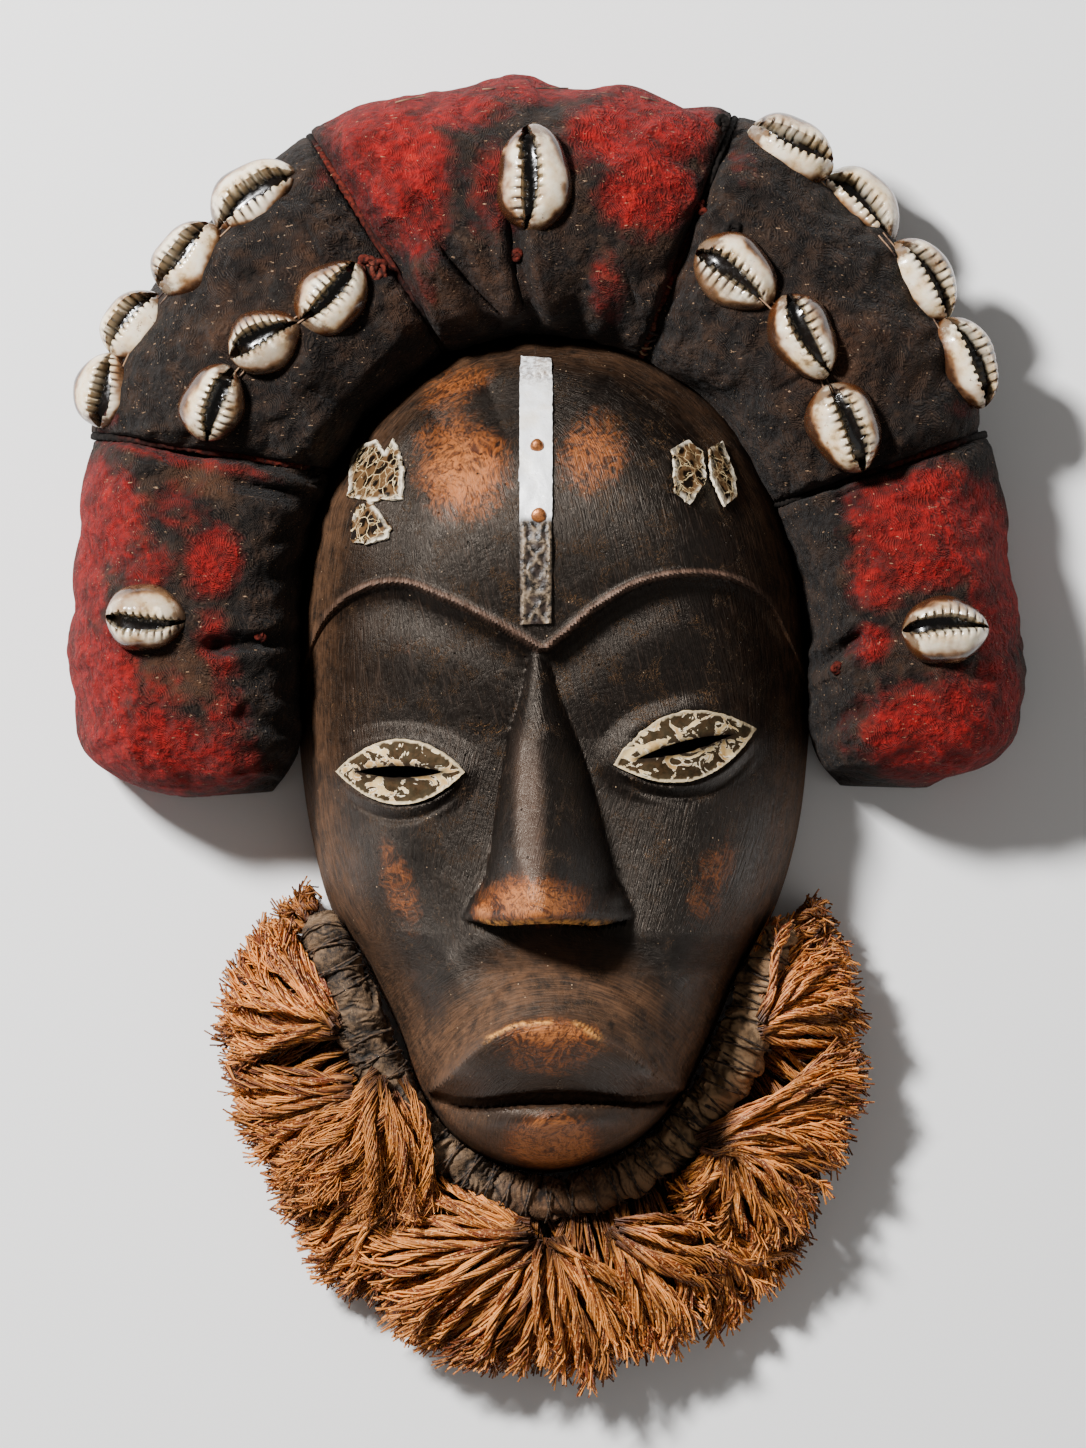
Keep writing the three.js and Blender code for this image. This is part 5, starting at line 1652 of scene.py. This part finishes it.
ruffShape = {
    "outline": [(-70, -44), (-85, -58), (-94, -81), (-91.5, -99), (-88, -113), (-80, -129), (-69, -147),
                (-59, -161), (-41, -172.5), (-21, -181), (-2, -182.5), (15, -186), (28, -178), (43, -172.5),
                (59, -161), (73, -148), (80.5, -129), (89, -112), (91.5, -93), (89.5, -70), (78, -47)],
    # under layers from the lowest: bundles, locks in each, share of the outline reached, root and tip heights
    "layers": [{"bundles": 16, "locks": 9, "reach": 0.97, "root": 11, "tip": 6},
               {"bundles": 15, "locks": 9, "reach": 0.98, "root": 19, "tip": 14}],
    # fans on top: where they are tied, their tips from one side to the other, locks, root and tip heights
    "fansLeft": [
        ((-58, -82), [(-75, -52), (-84, -57), (-93, -71), (-94, -82), (-91, -94)], 30, 31, 23),
        ((-54, -99), [(-91, -90), (-89, -105), (-86, -115), (-80, -123)], 26, 31, 23),
        ((-47, -108), [(-82, -117), (-79, -127), (-71, -136)], 16, 29, 24),
        ((-45, -131), [(-77, -131), (-70, -141), (-66, -152), (-58, -161)], 20, 25, 14),
        ((-4, -139), [(-27, -122), (-44, -128), (-54, -137), (-57, -149), (-46, -167), (-36, -174)], 34, 31, 24),
        ((-2, -141), [(-44, -170), (-31, -176), (-19, -179), (-6, -180)], 22, 29, 21)],
    "fansRight": [
        ((1, -141), [(-9, -180), (3, -181), (13, -185), (22, -179), (28, -168), (30, -157)], 30, 31, 23),
        ((18, -138), [(45, -134), (50, -143), (50, -153), (46, -164), (38, -174), (31, -178)], 30, 30, 23),
        ((43, -140), [(73, -147), (66, -156), (56, -165), (47, -171)], 20, 24, 15),
        ((50, -113), [(33, -129), (41, -137), (52, -143), (66, -148), (75, -138), (80, -127)], 30, 32, 25),
        ((43, -115), [(82, -122), (87, -111), (90, -101), (91, -91), (86, -84)], 30, 33, 25),
        ((59.5, -82), [(60, -48), (70, -50), (81, -56), (88, -67), (90, -77), (89, -85)], 30, 32, 24)],
    # loose matted fibres that lie along the cord
    "brush": ((-46, -95), [(-31, -137), (-41, -139), (-53, -136), (-66, -131), (-78, -125)], 34, 33, 30),
    "strands": 20, "lockRadius": 1.3, "strandRadius": 0.31, "flare": 2.0, "twist": 1.7, "frizz": 1.0,
    "points": 10, "tipPoints": 60, "outlinePoints": 400, "lowest": -186.3, "floorRoom": 2.2,
}


def lockLine(r, root, tip, rootHeight, tipHeight, sway=1.0):
    # the middle line of one lock, arched over, swayed and waved
    share = np.linspace(0, 1, ruffShape["points"])[:, None]
    start = np.append(root, rootHeight + r.normal(0, 1.2))
    end = np.append(tip, tipHeight + r.normal(0, 2.2))
    line = start + (end - start) * share
    away = (end - start)[:2] / np.linalg.norm((end - start)[:2])
    across = np.array([-away[1], away[0], 0])
    line[:, 2] += (3 + 2 * r.uniform(-1, 1)) * np.sin(share[:, 0] * math.pi)
    line[:, 2] -= r.uniform(0, 3) * share[:, 0] ** 3
    line += across * sway * (r.normal(0, 1.5) * np.sin(share * math.pi * r.uniform(0.7, 1.5))
                             + 0.55 * np.sin(share * r.uniform(5, 11) + r.uniform(0, 6)))
    line[:, 2] = np.maximum(line[:, 2], ruffShape["floorRoom"])
    return line


def underLines():
    r = np.random.default_rng(17)
    outline = curveThrough(ruffShape["outline"], ruffShape["outlinePoints"])
    steps = np.linalg.norm(np.diff(outline, axis=0), axis=1)
    outlineShare = np.append(0, np.cumsum(steps)) / steps.sum()
    lines = []
    for layer in ruffShape["layers"]:
        for b in range(layer["bundles"]):
            middle = (b + 0.5 + r.uniform(-0.25, 0.25)) / layer["bundles"]
            for fan in np.linspace(-1, 1, layer["locks"]):
                at = np.clip(middle + 0.02 * fan, 0.005, 0.995)
                middleLine, _, _, radius = cordFrame(np.array([at]))
                tipAt = np.clip(middle + fan * 0.05 + r.normal(0, 0.008), 0, 1)
                tip = np.array([np.interp(tipAt, outlineShare, outline[:, i]) for i in (0, 1)])
                root = middleLine[0, :2]
                away = (tip - root) / np.linalg.norm(tip - root)
                tip = root + (tip - root) * layer["reach"] * r.uniform(0.86, 1.0)
                lines.append(lockLine(r, root + away * radius[0] * 0.7, tip, layer["root"], layer["tip"]))
    return lines


def fanLines(fan, seed, sway=1.0):
    r = np.random.default_rng(seed)
    root, tips, count, rootHeight, tipHeight = fan
    points = ruffShape["tipPoints"]
    tips = curveThrough(tips, points)
    lines = []
    for k in range(count):
        at = (k + 0.5 + r.uniform(-0.4, 0.4)) / count * (points - 1)
        tip = np.array([np.interp(at, np.arange(points), tips[:, i]) for i in (0, 1)])
        away = tip - root
        across = np.array([-away[1], away[0]]) / np.linalg.norm(away)
        start = np.array(root) + across * r.normal(0, 1.6) + away * r.uniform(0.0, 0.1)
        low = r.uniform(0, 1) ** 2
        end = start + (tip - start) * r.uniform(0.84, 1.02)
        lines.append(lockLine(r, start, end, rootHeight - 4 * low, tipHeight - 7 * low, sway))
    return lines


def growLocks(name, lines, seed, deep, **changes):
    spec = {**ruffShape, **changes}
    tree = Tree("raffia strands", {"Strands": 16, "Lock Radius": 0.0012, "Strand Radius": 0.0003,
                                   "Flare": 2.4, "Twist": 1.2, "Frizz": 0.0012, "Seed": 5})
    # each edge line becomes a lock of strands, wound round it and opening towards the tip
    curve = tree.out("GeometryNodeDuplicateElements", {"domain": "SPLINE"},
                     {"Geometry": tree.curves(), "Amount": tree.given("Strands")})
    number = tree.out("GeometryNodeCurveOfPoint", output="Curve Index")
    factor = tree.out("GeometryNodeSplineParameter", output="Factor")
    first = tree.given("Seed")
    turn = tree.random(0.0, 2 * math.pi, number, first) + factor * tree.given("Twist") * (2 * math.pi)
    reach = tree.math("SQRT", tree.random(0.3, 1.0, number, first + 1.0))
    spread = 0.7 + tree.math("SMOOTH_MIN", factor, 0.4, 0.2) * 0.35 + factor ** 6.0 * tree.given("Flare")
    radius = reach * tree.given("Lock Radius") * spread
    normal = tree.out("GeometryNodeInputNormal")
    tangent = tree.out("GeometryNodeInputTangent")
    side = tree.vector("CROSS_PRODUCT", tangent, normal)
    wound = tree.vector("ADD", tree.scaled(normal, tree.math("COSINE", turn) * radius),
                        tree.scaled(side, tree.math("SINE", turn) * radius))

    # each strand strays from its lock, most of all at its tip, and ends at its own length
    stray = tree.out("ShaderNodeTexNoise", {"noise_dimensions": "4D"}, {
        "Vector": tree.out("GeometryNodeInputPosition"), "W": number * 3.7, "Scale": 95.0, "Detail": 1.0},
        "Color")
    stray = tree.vector("SUBTRACT", stray, (0.5, 0.5, 0.5))
    wild = tree.random(0.0, 1.0, number, first + 2.0) ** 8.0
    amount = tree.given("Frizz") * (0.6 + wild * 6.0) * (0.15 + factor * 1.5)
    shorter = tree.random(-0.005, 0.001, number, first + 3.0) * factor ** 3.0
    shift = tree.vector("ADD", tree.vector("ADD", wound, tree.scaled(stray, amount)),
                        tree.scaled(tangent, shorter))
    curve = tree.out("GeometryNodeSetPosition", None, {"Geometry": curve, "Offset": shift})
    thick = tree.random(0.6, 1.4, number, first + 4.0) * (1.0 - factor * 0.45)
    curve = tree.out("GeometryNodeSetCurveRadius", None, {"Curve": curve, "Radius": thick})
    curve = tree.keep(curve, "strand", tree.random(0.0, 1.0, number, first + 6.0))
    lock = tree.math("FLOOR", number / tree.given("Strands"))
    curve = tree.keep(curve, "lock", tree.random(0.0, 1.0, lock, first + 7.0))
    curve = tree.keep(curve, "along", factor)
    strands = tree.tube(curve, tree.ring(3, tree.given("Strand Radius")))

    piece = guideMesh(name, lines)
    tree.run(piece, strands, raffiaCoat, {
        "Strands": spec["strands"], "Lock Radius": spec["lockRadius"] * mm,
        "Strand Radius": spec["strandRadius"] * mm, "Flare": spec["flare"], "Twist": spec["twist"],
        "Frizz": spec["frizz"] * mm, "Seed": seed})
    p = faceClear(pointsOf(piece), 0.3)
    p[:, 1], p[:, 2] = np.maximum(p[:, 1], ruffShape["lowest"]), np.maximum(p[:, 2], 0)
    setPoints(piece, p)
    paint(piece, "deep", np.full(len(p), deep))
    faces = piece.data.polygons
    print(name, len(faces), "faces", sum(len(f.vertices) - 2 for f in faces), "triangles")
    return finishPiece(piece, "raffia", "raffia_ruff")


def raffiaLook():
    look = Look("dry raffia", {"Roughness": 0.5, "Specular IOR Level": 0.35})
    base = look.mix(look.read("strand").range(0.1, 0.9), "#6C2D08", "#F39A45")
    base = look.mix(look.noise(10, 3).range(0.45, 0.7) * 0.55, base, "#54280D")
    # painted highlight: fine pale speckles on the strands
    base = look.mix(look.noise(0.8, 2, 0.6).range(0.52, 0.72) * 0.72, base, "#FFC384")
    base = look.mix(look.read("along").range(0.22, 0.0) * 0.9, base, "#1E0D05")
    # painted shade: the under layers darker
    base = look.mix(look.read("deep") * 0.75, base, "#2C1407")
    return look.finish(look.mix(look.read("lock").range(0.45, 0.0, 0.0, 0.6), base, "#4A2109"))


raffiaCoat = raffiaLook()
under = underLines()
half = len(under) // 2
left = [line for k, fan in enumerate(ruffShape["fansLeft"], 40) for line in fanLines(fan, k)]
right = [line for k, fan in enumerate(ruffShape["fansRight"], 60) for line in fanLines(fan, k)]
matted = fanLines(ruffShape["brush"], 80, 2.0)
# the under layers carry a painted shade, the lowest most
ruff = [
    growLocks("raffiaUnderLow", under[:half], 5, 0.8, strands=15, lockRadius=1.6, strandRadius=0.3),
    growLocks("raffiaUnderHigh", under[half:], 6, 0.45, strands=17, lockRadius=1.6, strandRadius=0.28),
    growLocks("raffiaFansLeft", left, 7, 0.0),
    growLocks("raffiaFansRight", right, 8, 0.0),
    growLocks("raffiaBrush", matted, 9, 0.15, strands=26, lockRadius=2.2, strandRadius=0.17, frizz=2.6,
              flare=0.8),
]
print("ruff grown:", len(ruff), "pieces")


# seams of the headdress: rolled hems with stitches over them, running thread and knots

# sections on each side, and along the seam from the outside in: share, thickness, tone
seams = {
    "lobeLeft": {"sides": ("leftLobe", "leftPanel"), "rows": [
        (0.1, 0.6, 0.1), (0.3, 0.65, 0.5), (0.5, 0.7, 0.6), (0.62, 1.0, 0.9), (0.8, 1.1, 0.4),
        (0.95, 0.9, 0.1)]},
    "topLeft": {"sides": ("leftPanel", "topPanel"), "rows": [
        (0.05, 1.0, 0.1), (0.2, 1.3, 0.8), (0.4, 0.8, 1.0), (0.62, 0.7, 0.5), (0.8, 0.8, 0.2),
        (0.95, 0.8, 0.1)]},
    "topRight": {"sides": ("topPanel", "rightPanel"), "rows": [
        (0.05, 0.9, 0.1), (0.3, 0.9, 0.1), (0.5, 0.9, 0.2), (0.62, 1.6, 1.3), (0.8, 2.2, 1.6),
        (0.96, 1.7, 1.1)]},
    "lobeRight": {"sides": ("rightPanel", "rightLobe"), "rows": [
        (0.08, 0.6, 0.1), (0.25, 0.65, 0.4), (0.42, 0.9, 0.8), (0.6, 0.7, 0.4), (0.8, 0.75, 0.2),
        (0.95, 0.8, 0.1)]},
}
hemShape = {"points": 90, "sunk": 1.3, "sides": 20, "pitch": 5.5, "depth": 0.22, "lumps": 0.9,
            "stitchEvery": 3.4, "stitchWidth": 1.35, "stitchesKept": 0.55, "thread": 0.25, "threadSides": 5}
# loops and knots: place, size, thickness, tone
knots = [(-65.5, 73.5, 2.0, 0.7, 0.3), (-47, 130.5, 2.6, 0.9, 1.3), (-50.5, 132.5, 2.0, 0.8, 1.3),
         (-44.5, 133, 1.7, 0.7, 1.1), (42.3, 149, 1.4, 0.8, 1.0), (43.2, 146.5, 1.1, 0.7, 1.0),
         (51.5, 141.5, 2.2, 0.45, 0.2), (103.5, 78.5, 1.3, 0.5, 0.2), (-80, 28.5, 1.1, 0.6, 1.0),
         (81, 19.5, 1.2, 0.6, 0.9), (64, 58, 1.9, 0.45, 0.8), (67, 52, 1.6, 0.45, 0.9),
         (-8.5, 134.5, 1.0, 0.35, 1.0), (49, 172, 2.2, 0.9, 0.1)]
# running thread along the top edge of the top panel: shares of its length
threadRuns = [(0.24, 0.32), (0.47, 0.55), (0.6, 0.68), (0.84, 0.93)]


def topOfCloth(x, y):
    # height of the cloth under a place in plan
    hits = [obj.ray_cast(Vector((x * mm, y * mm, 0.2)), Vector((0, 0, -1))) for obj in headdress.values()]
    return max([hit[1].z / mm for hit in hits if hit[0]], default=0.0)


def guideWith(name, lines, **values):
    guide = guideMesh(name, lines)
    for label, rows in values.items():
        paint(guide, label, np.concatenate(rows))
    return guide


def keepOn(obj):
    p = pointsOf(obj)
    p[:, 2] = np.maximum(p[:, 2], 0.2)
    setPoints(obj, p)
    return finishPiece(obj, "dark_cloth")


def growHems(name, lines, radii, tones):
    tree = Tree("rolled hem", {"Pitch": 0.005, "Depth": 0.0002, "Lumps": 0.0003})
    curve = tree.out("GeometryNodeSetCurveRadius", None, {"Curve": tree.curves(), "Radius": tree.read("thick")})
    curve = tree.keep(curve, "along", tree.out("GeometryNodeSplineParameter", output="Length"))
    profile = tree.ring(hemShape["sides"], mm)
    profile = tree.keep(profile, "around", tree.out("GeometryNodeSplineParameter", output="Factor"))
    skin = tree.tube(curve, profile)
    phase = tree.read("along") / tree.given("Pitch") + tree.read("around")
    wave = tree.math("SINE", phase * (4 * math.pi))
    lump = tree.out("ShaderNodeTexNoise", None, {"Scale": 420.0, "Detail": 2.0})
    rise = wave * tree.given("Depth") + (lump - 0.5) * tree.given("Lumps")
    offset = tree.scaled(tree.out("GeometryNodeInputNormal"), rise)
    skin = tree.out("GeometryNodeSetPosition", None, {"Geometry": skin, "Offset": offset})
    # how far in each place is pushed, for painted shade in the creases
    skin = tree.keep(skin, "crease", tree.math("MULTIPLY_ADD", wave, -0.5, 0.5))
    guide = guideWith(name, lines, thick=radii, tone=tones)
    tree.run(guide, skin, hemCoat, {"Pitch": hemShape["pitch"] * mm, "Depth": hemShape["depth"] * mm,
                                    "Lumps": hemShape["lumps"] * mm})
    return keepOn(guide)


def sew(name, lines, radii, seed):
    tree = Tree("stitches", {"Every": 0.003, "Kept": 0.5, "Width": 0.0014, "Seed": 3})
    dots = tree.node("GeometryNodeCurveToPoints", {"mode": "LENGTH"},
                     {"Curve": tree.curves(), "Length": tree.given("Every")})
    points, tangent = (Value(tree, dots.outputs[name]) for name in ("Points", "Tangent"))
    number = tree.out("GeometryNodeInputIndex")
    first = tree.given("Seed")
    arch = tree.out("GeometryNodeCurveQuadraticBezier", None, {
        "Resolution": 8, "Start": (-1.0, 0.15, -0.2), "Middle": (0.1, 0.0, 1.1), "End": (1.0, -0.15, -0.2)})
    stitch = tree.tube(arch, tree.ring(5, 0.14))
    facing = tree.out("FunctionNodeAlignRotationToVector", {"axis": "Y"}, {"Vector": tangent})
    upright = tree.out("FunctionNodeAlignRotationToVector", {"axis": "Z", "pivot_axis": "Y"},
                       {"Rotation": facing, "Vector": (0.0, 0.0, 1.0)})
    slant = tree.out("ShaderNodeCombineXYZ", None, {"Z": tree.random(-0.7, 0.7, number, first)})
    slant = tree.out("FunctionNodeEulerToRotation", None, {"Euler": slant})
    turned = tree.out("FunctionNodeRotateRotation", {"rotation_space": "LOCAL"},
                      {"Rotation": upright, "Rotate By": slant})
    chosen = tree.math("LESS_THAN", tree.random(0.0, 1.0, number, first + 1.0), tree.given("Kept"))
    sewn = tree.out("GeometryNodeInstanceOnPoints", None, {
        "Points": points, "Selection": chosen, "Instance": stitch, "Rotation": turned,
        "Scale": tree.read("thick") * tree.given("Width")})
    guide = guideWith(name, lines, thick=radii)
    tree.run(guide, sewn, threadCoat, {"Every": hemShape["stitchEvery"] * mm, "Kept": hemShape["stitchesKept"],
                                       "Width": hemShape["stitchWidth"] * mm, "Seed": seed})
    return keepOn(guide)


def hemLook():
    look = Look("rolled cloth hem", {"Roughness": 0.9, "Specular IOR Level": 0.15})
    fine = look.noise(1.2, 4, 0.65)
    mottle = fine.range(0.35, 0.65)
    tone = look.read("tone") + (look.noise(4, 3) - 0.5) * 0.8
    base = look.mix(mottle, "#0C0A09", "#1D1815")
    base = look.mix(tone.range(0.3, 1.0), base, look.mix(mottle, "#2E0F0B", "#5E2117"))
    base = look.mix(tone.range(1.1, 1.8), base, look.mix(mottle, "#44241B", "#7E4C3C"))
    # painted shade in the hem's creases
    base = look.mix(look.read("crease").range(0.6, 1.0) * 0.75, base, "#0B0706")
    return look.finish(base, fine, 0.4, 0.9)


def threadLook():
    look = Look("old thread", {"Roughness": 0.7})
    return look.finish(look.mix(look.noise(5, 2).range(0.4, 0.6), "#8C6C50", "#2A1712"))


def seamLine(seam):
    # a seam's line, thickness and tone
    first, second = (sections[side] for side in seam["sides"])
    count = hemShape["points"]
    turn = np.linspace(0.12, math.pi - 0.35, count)
    line = (clothSurface(first, np.ones(count), turn, False)
            + clothSurface(second, np.zeros(count), turn, False)) / 2
    line[:, 2] -= hemShape["sunk"]
    share = np.linspace(0, 1, count)
    rows = [(0, *seam["rows"][0][1:])] + seam["rows"] + [(1, *seam["rows"][-1][1:])]
    thick = smoothAlong(rows, share, 1) * (1 + 0.12 * Ripple(8, 14)(line[:, 0], line[:, 1]))
    return faceClear(line, 1.0), thick, smoothAlong(rows, share, 2)


def knotLines():
    # two laps for each knot: line, thickness and tone
    r = np.random.default_rng(12)
    laps = []
    for x, y, size, thick, tone in knots:
        base = topOfCloth(x, y)
        for lap in range(2):
            turn = np.linspace(0, 4.6, 26) + r.uniform(0, 6)
            reach = size * (0.75 + 0.25 * np.sin(turn * 1.7 + lap))
            tilt = r.uniform(0.3, 0.9)
            up = base + thick * 0.6 + 0.4 * lap + 0.35 * reach * np.sin(turn) * math.sin(tilt)
            line = np.stack([x + reach * np.cos(turn), y + reach * np.sin(turn) * math.cos(tilt), up], 1)
            radius = thick * 0.62 * np.sin(np.linspace(0.5, math.pi - 0.5, 26))
            laps.append((line, radius, np.full(26, tone)))
    return laps


def runningThread():
    # stitches along the top edge, and threads from one cowrie to the next in its row
    lines = []
    for low, high in threadRuns:
        share = np.linspace(low, high, 12)
        line = clothSurface(sections["topPanel"], share, np.full(12, 0.52), False)
        line[:, 2] += 0.25 * np.sin(np.linspace(0, 3 * math.pi, 12)) + 1.0
        lines.append(line)
    names = list(shells)
    for one, other in zip(names, names[1:]):
        if one[:-1] != other[:-1]:
            continue
        a, b = np.array(shells[one]["at"], float), np.array(shells[other]["at"], float)
        across = np.array([-(b - a)[1], (b - a)[0]])
        for off in (-0.8, 0.9):
            share = np.linspace(0.36, 0.64, 7)[:, None]
            flat = a + (b - a) * share + off * across / np.linalg.norm(b - a)
            up = np.array([topOfCloth(x, y) for x, y in flat]) + 0.5
            lines.append(np.column_stack([flat, up]))
    return lines


hemCoat, threadCoat = hemLook(), threadLook()
seamLines = [seamLine(seam) for seam in seams.values()]
hems = growHems("rolledHems", *zip(*seamLines, *knotLines()))
stitches = sew("seamStitches", *list(zip(*seamLines))[:2], 3)
thread = growTubes("runningThread", runningThread(), hemShape["thread"], hemShape["threadSides"], threadCoat)
keepOn(thread)
print("seams sewn:", len(hems.data.polygons) + len(stitches.data.polygons), "faces")
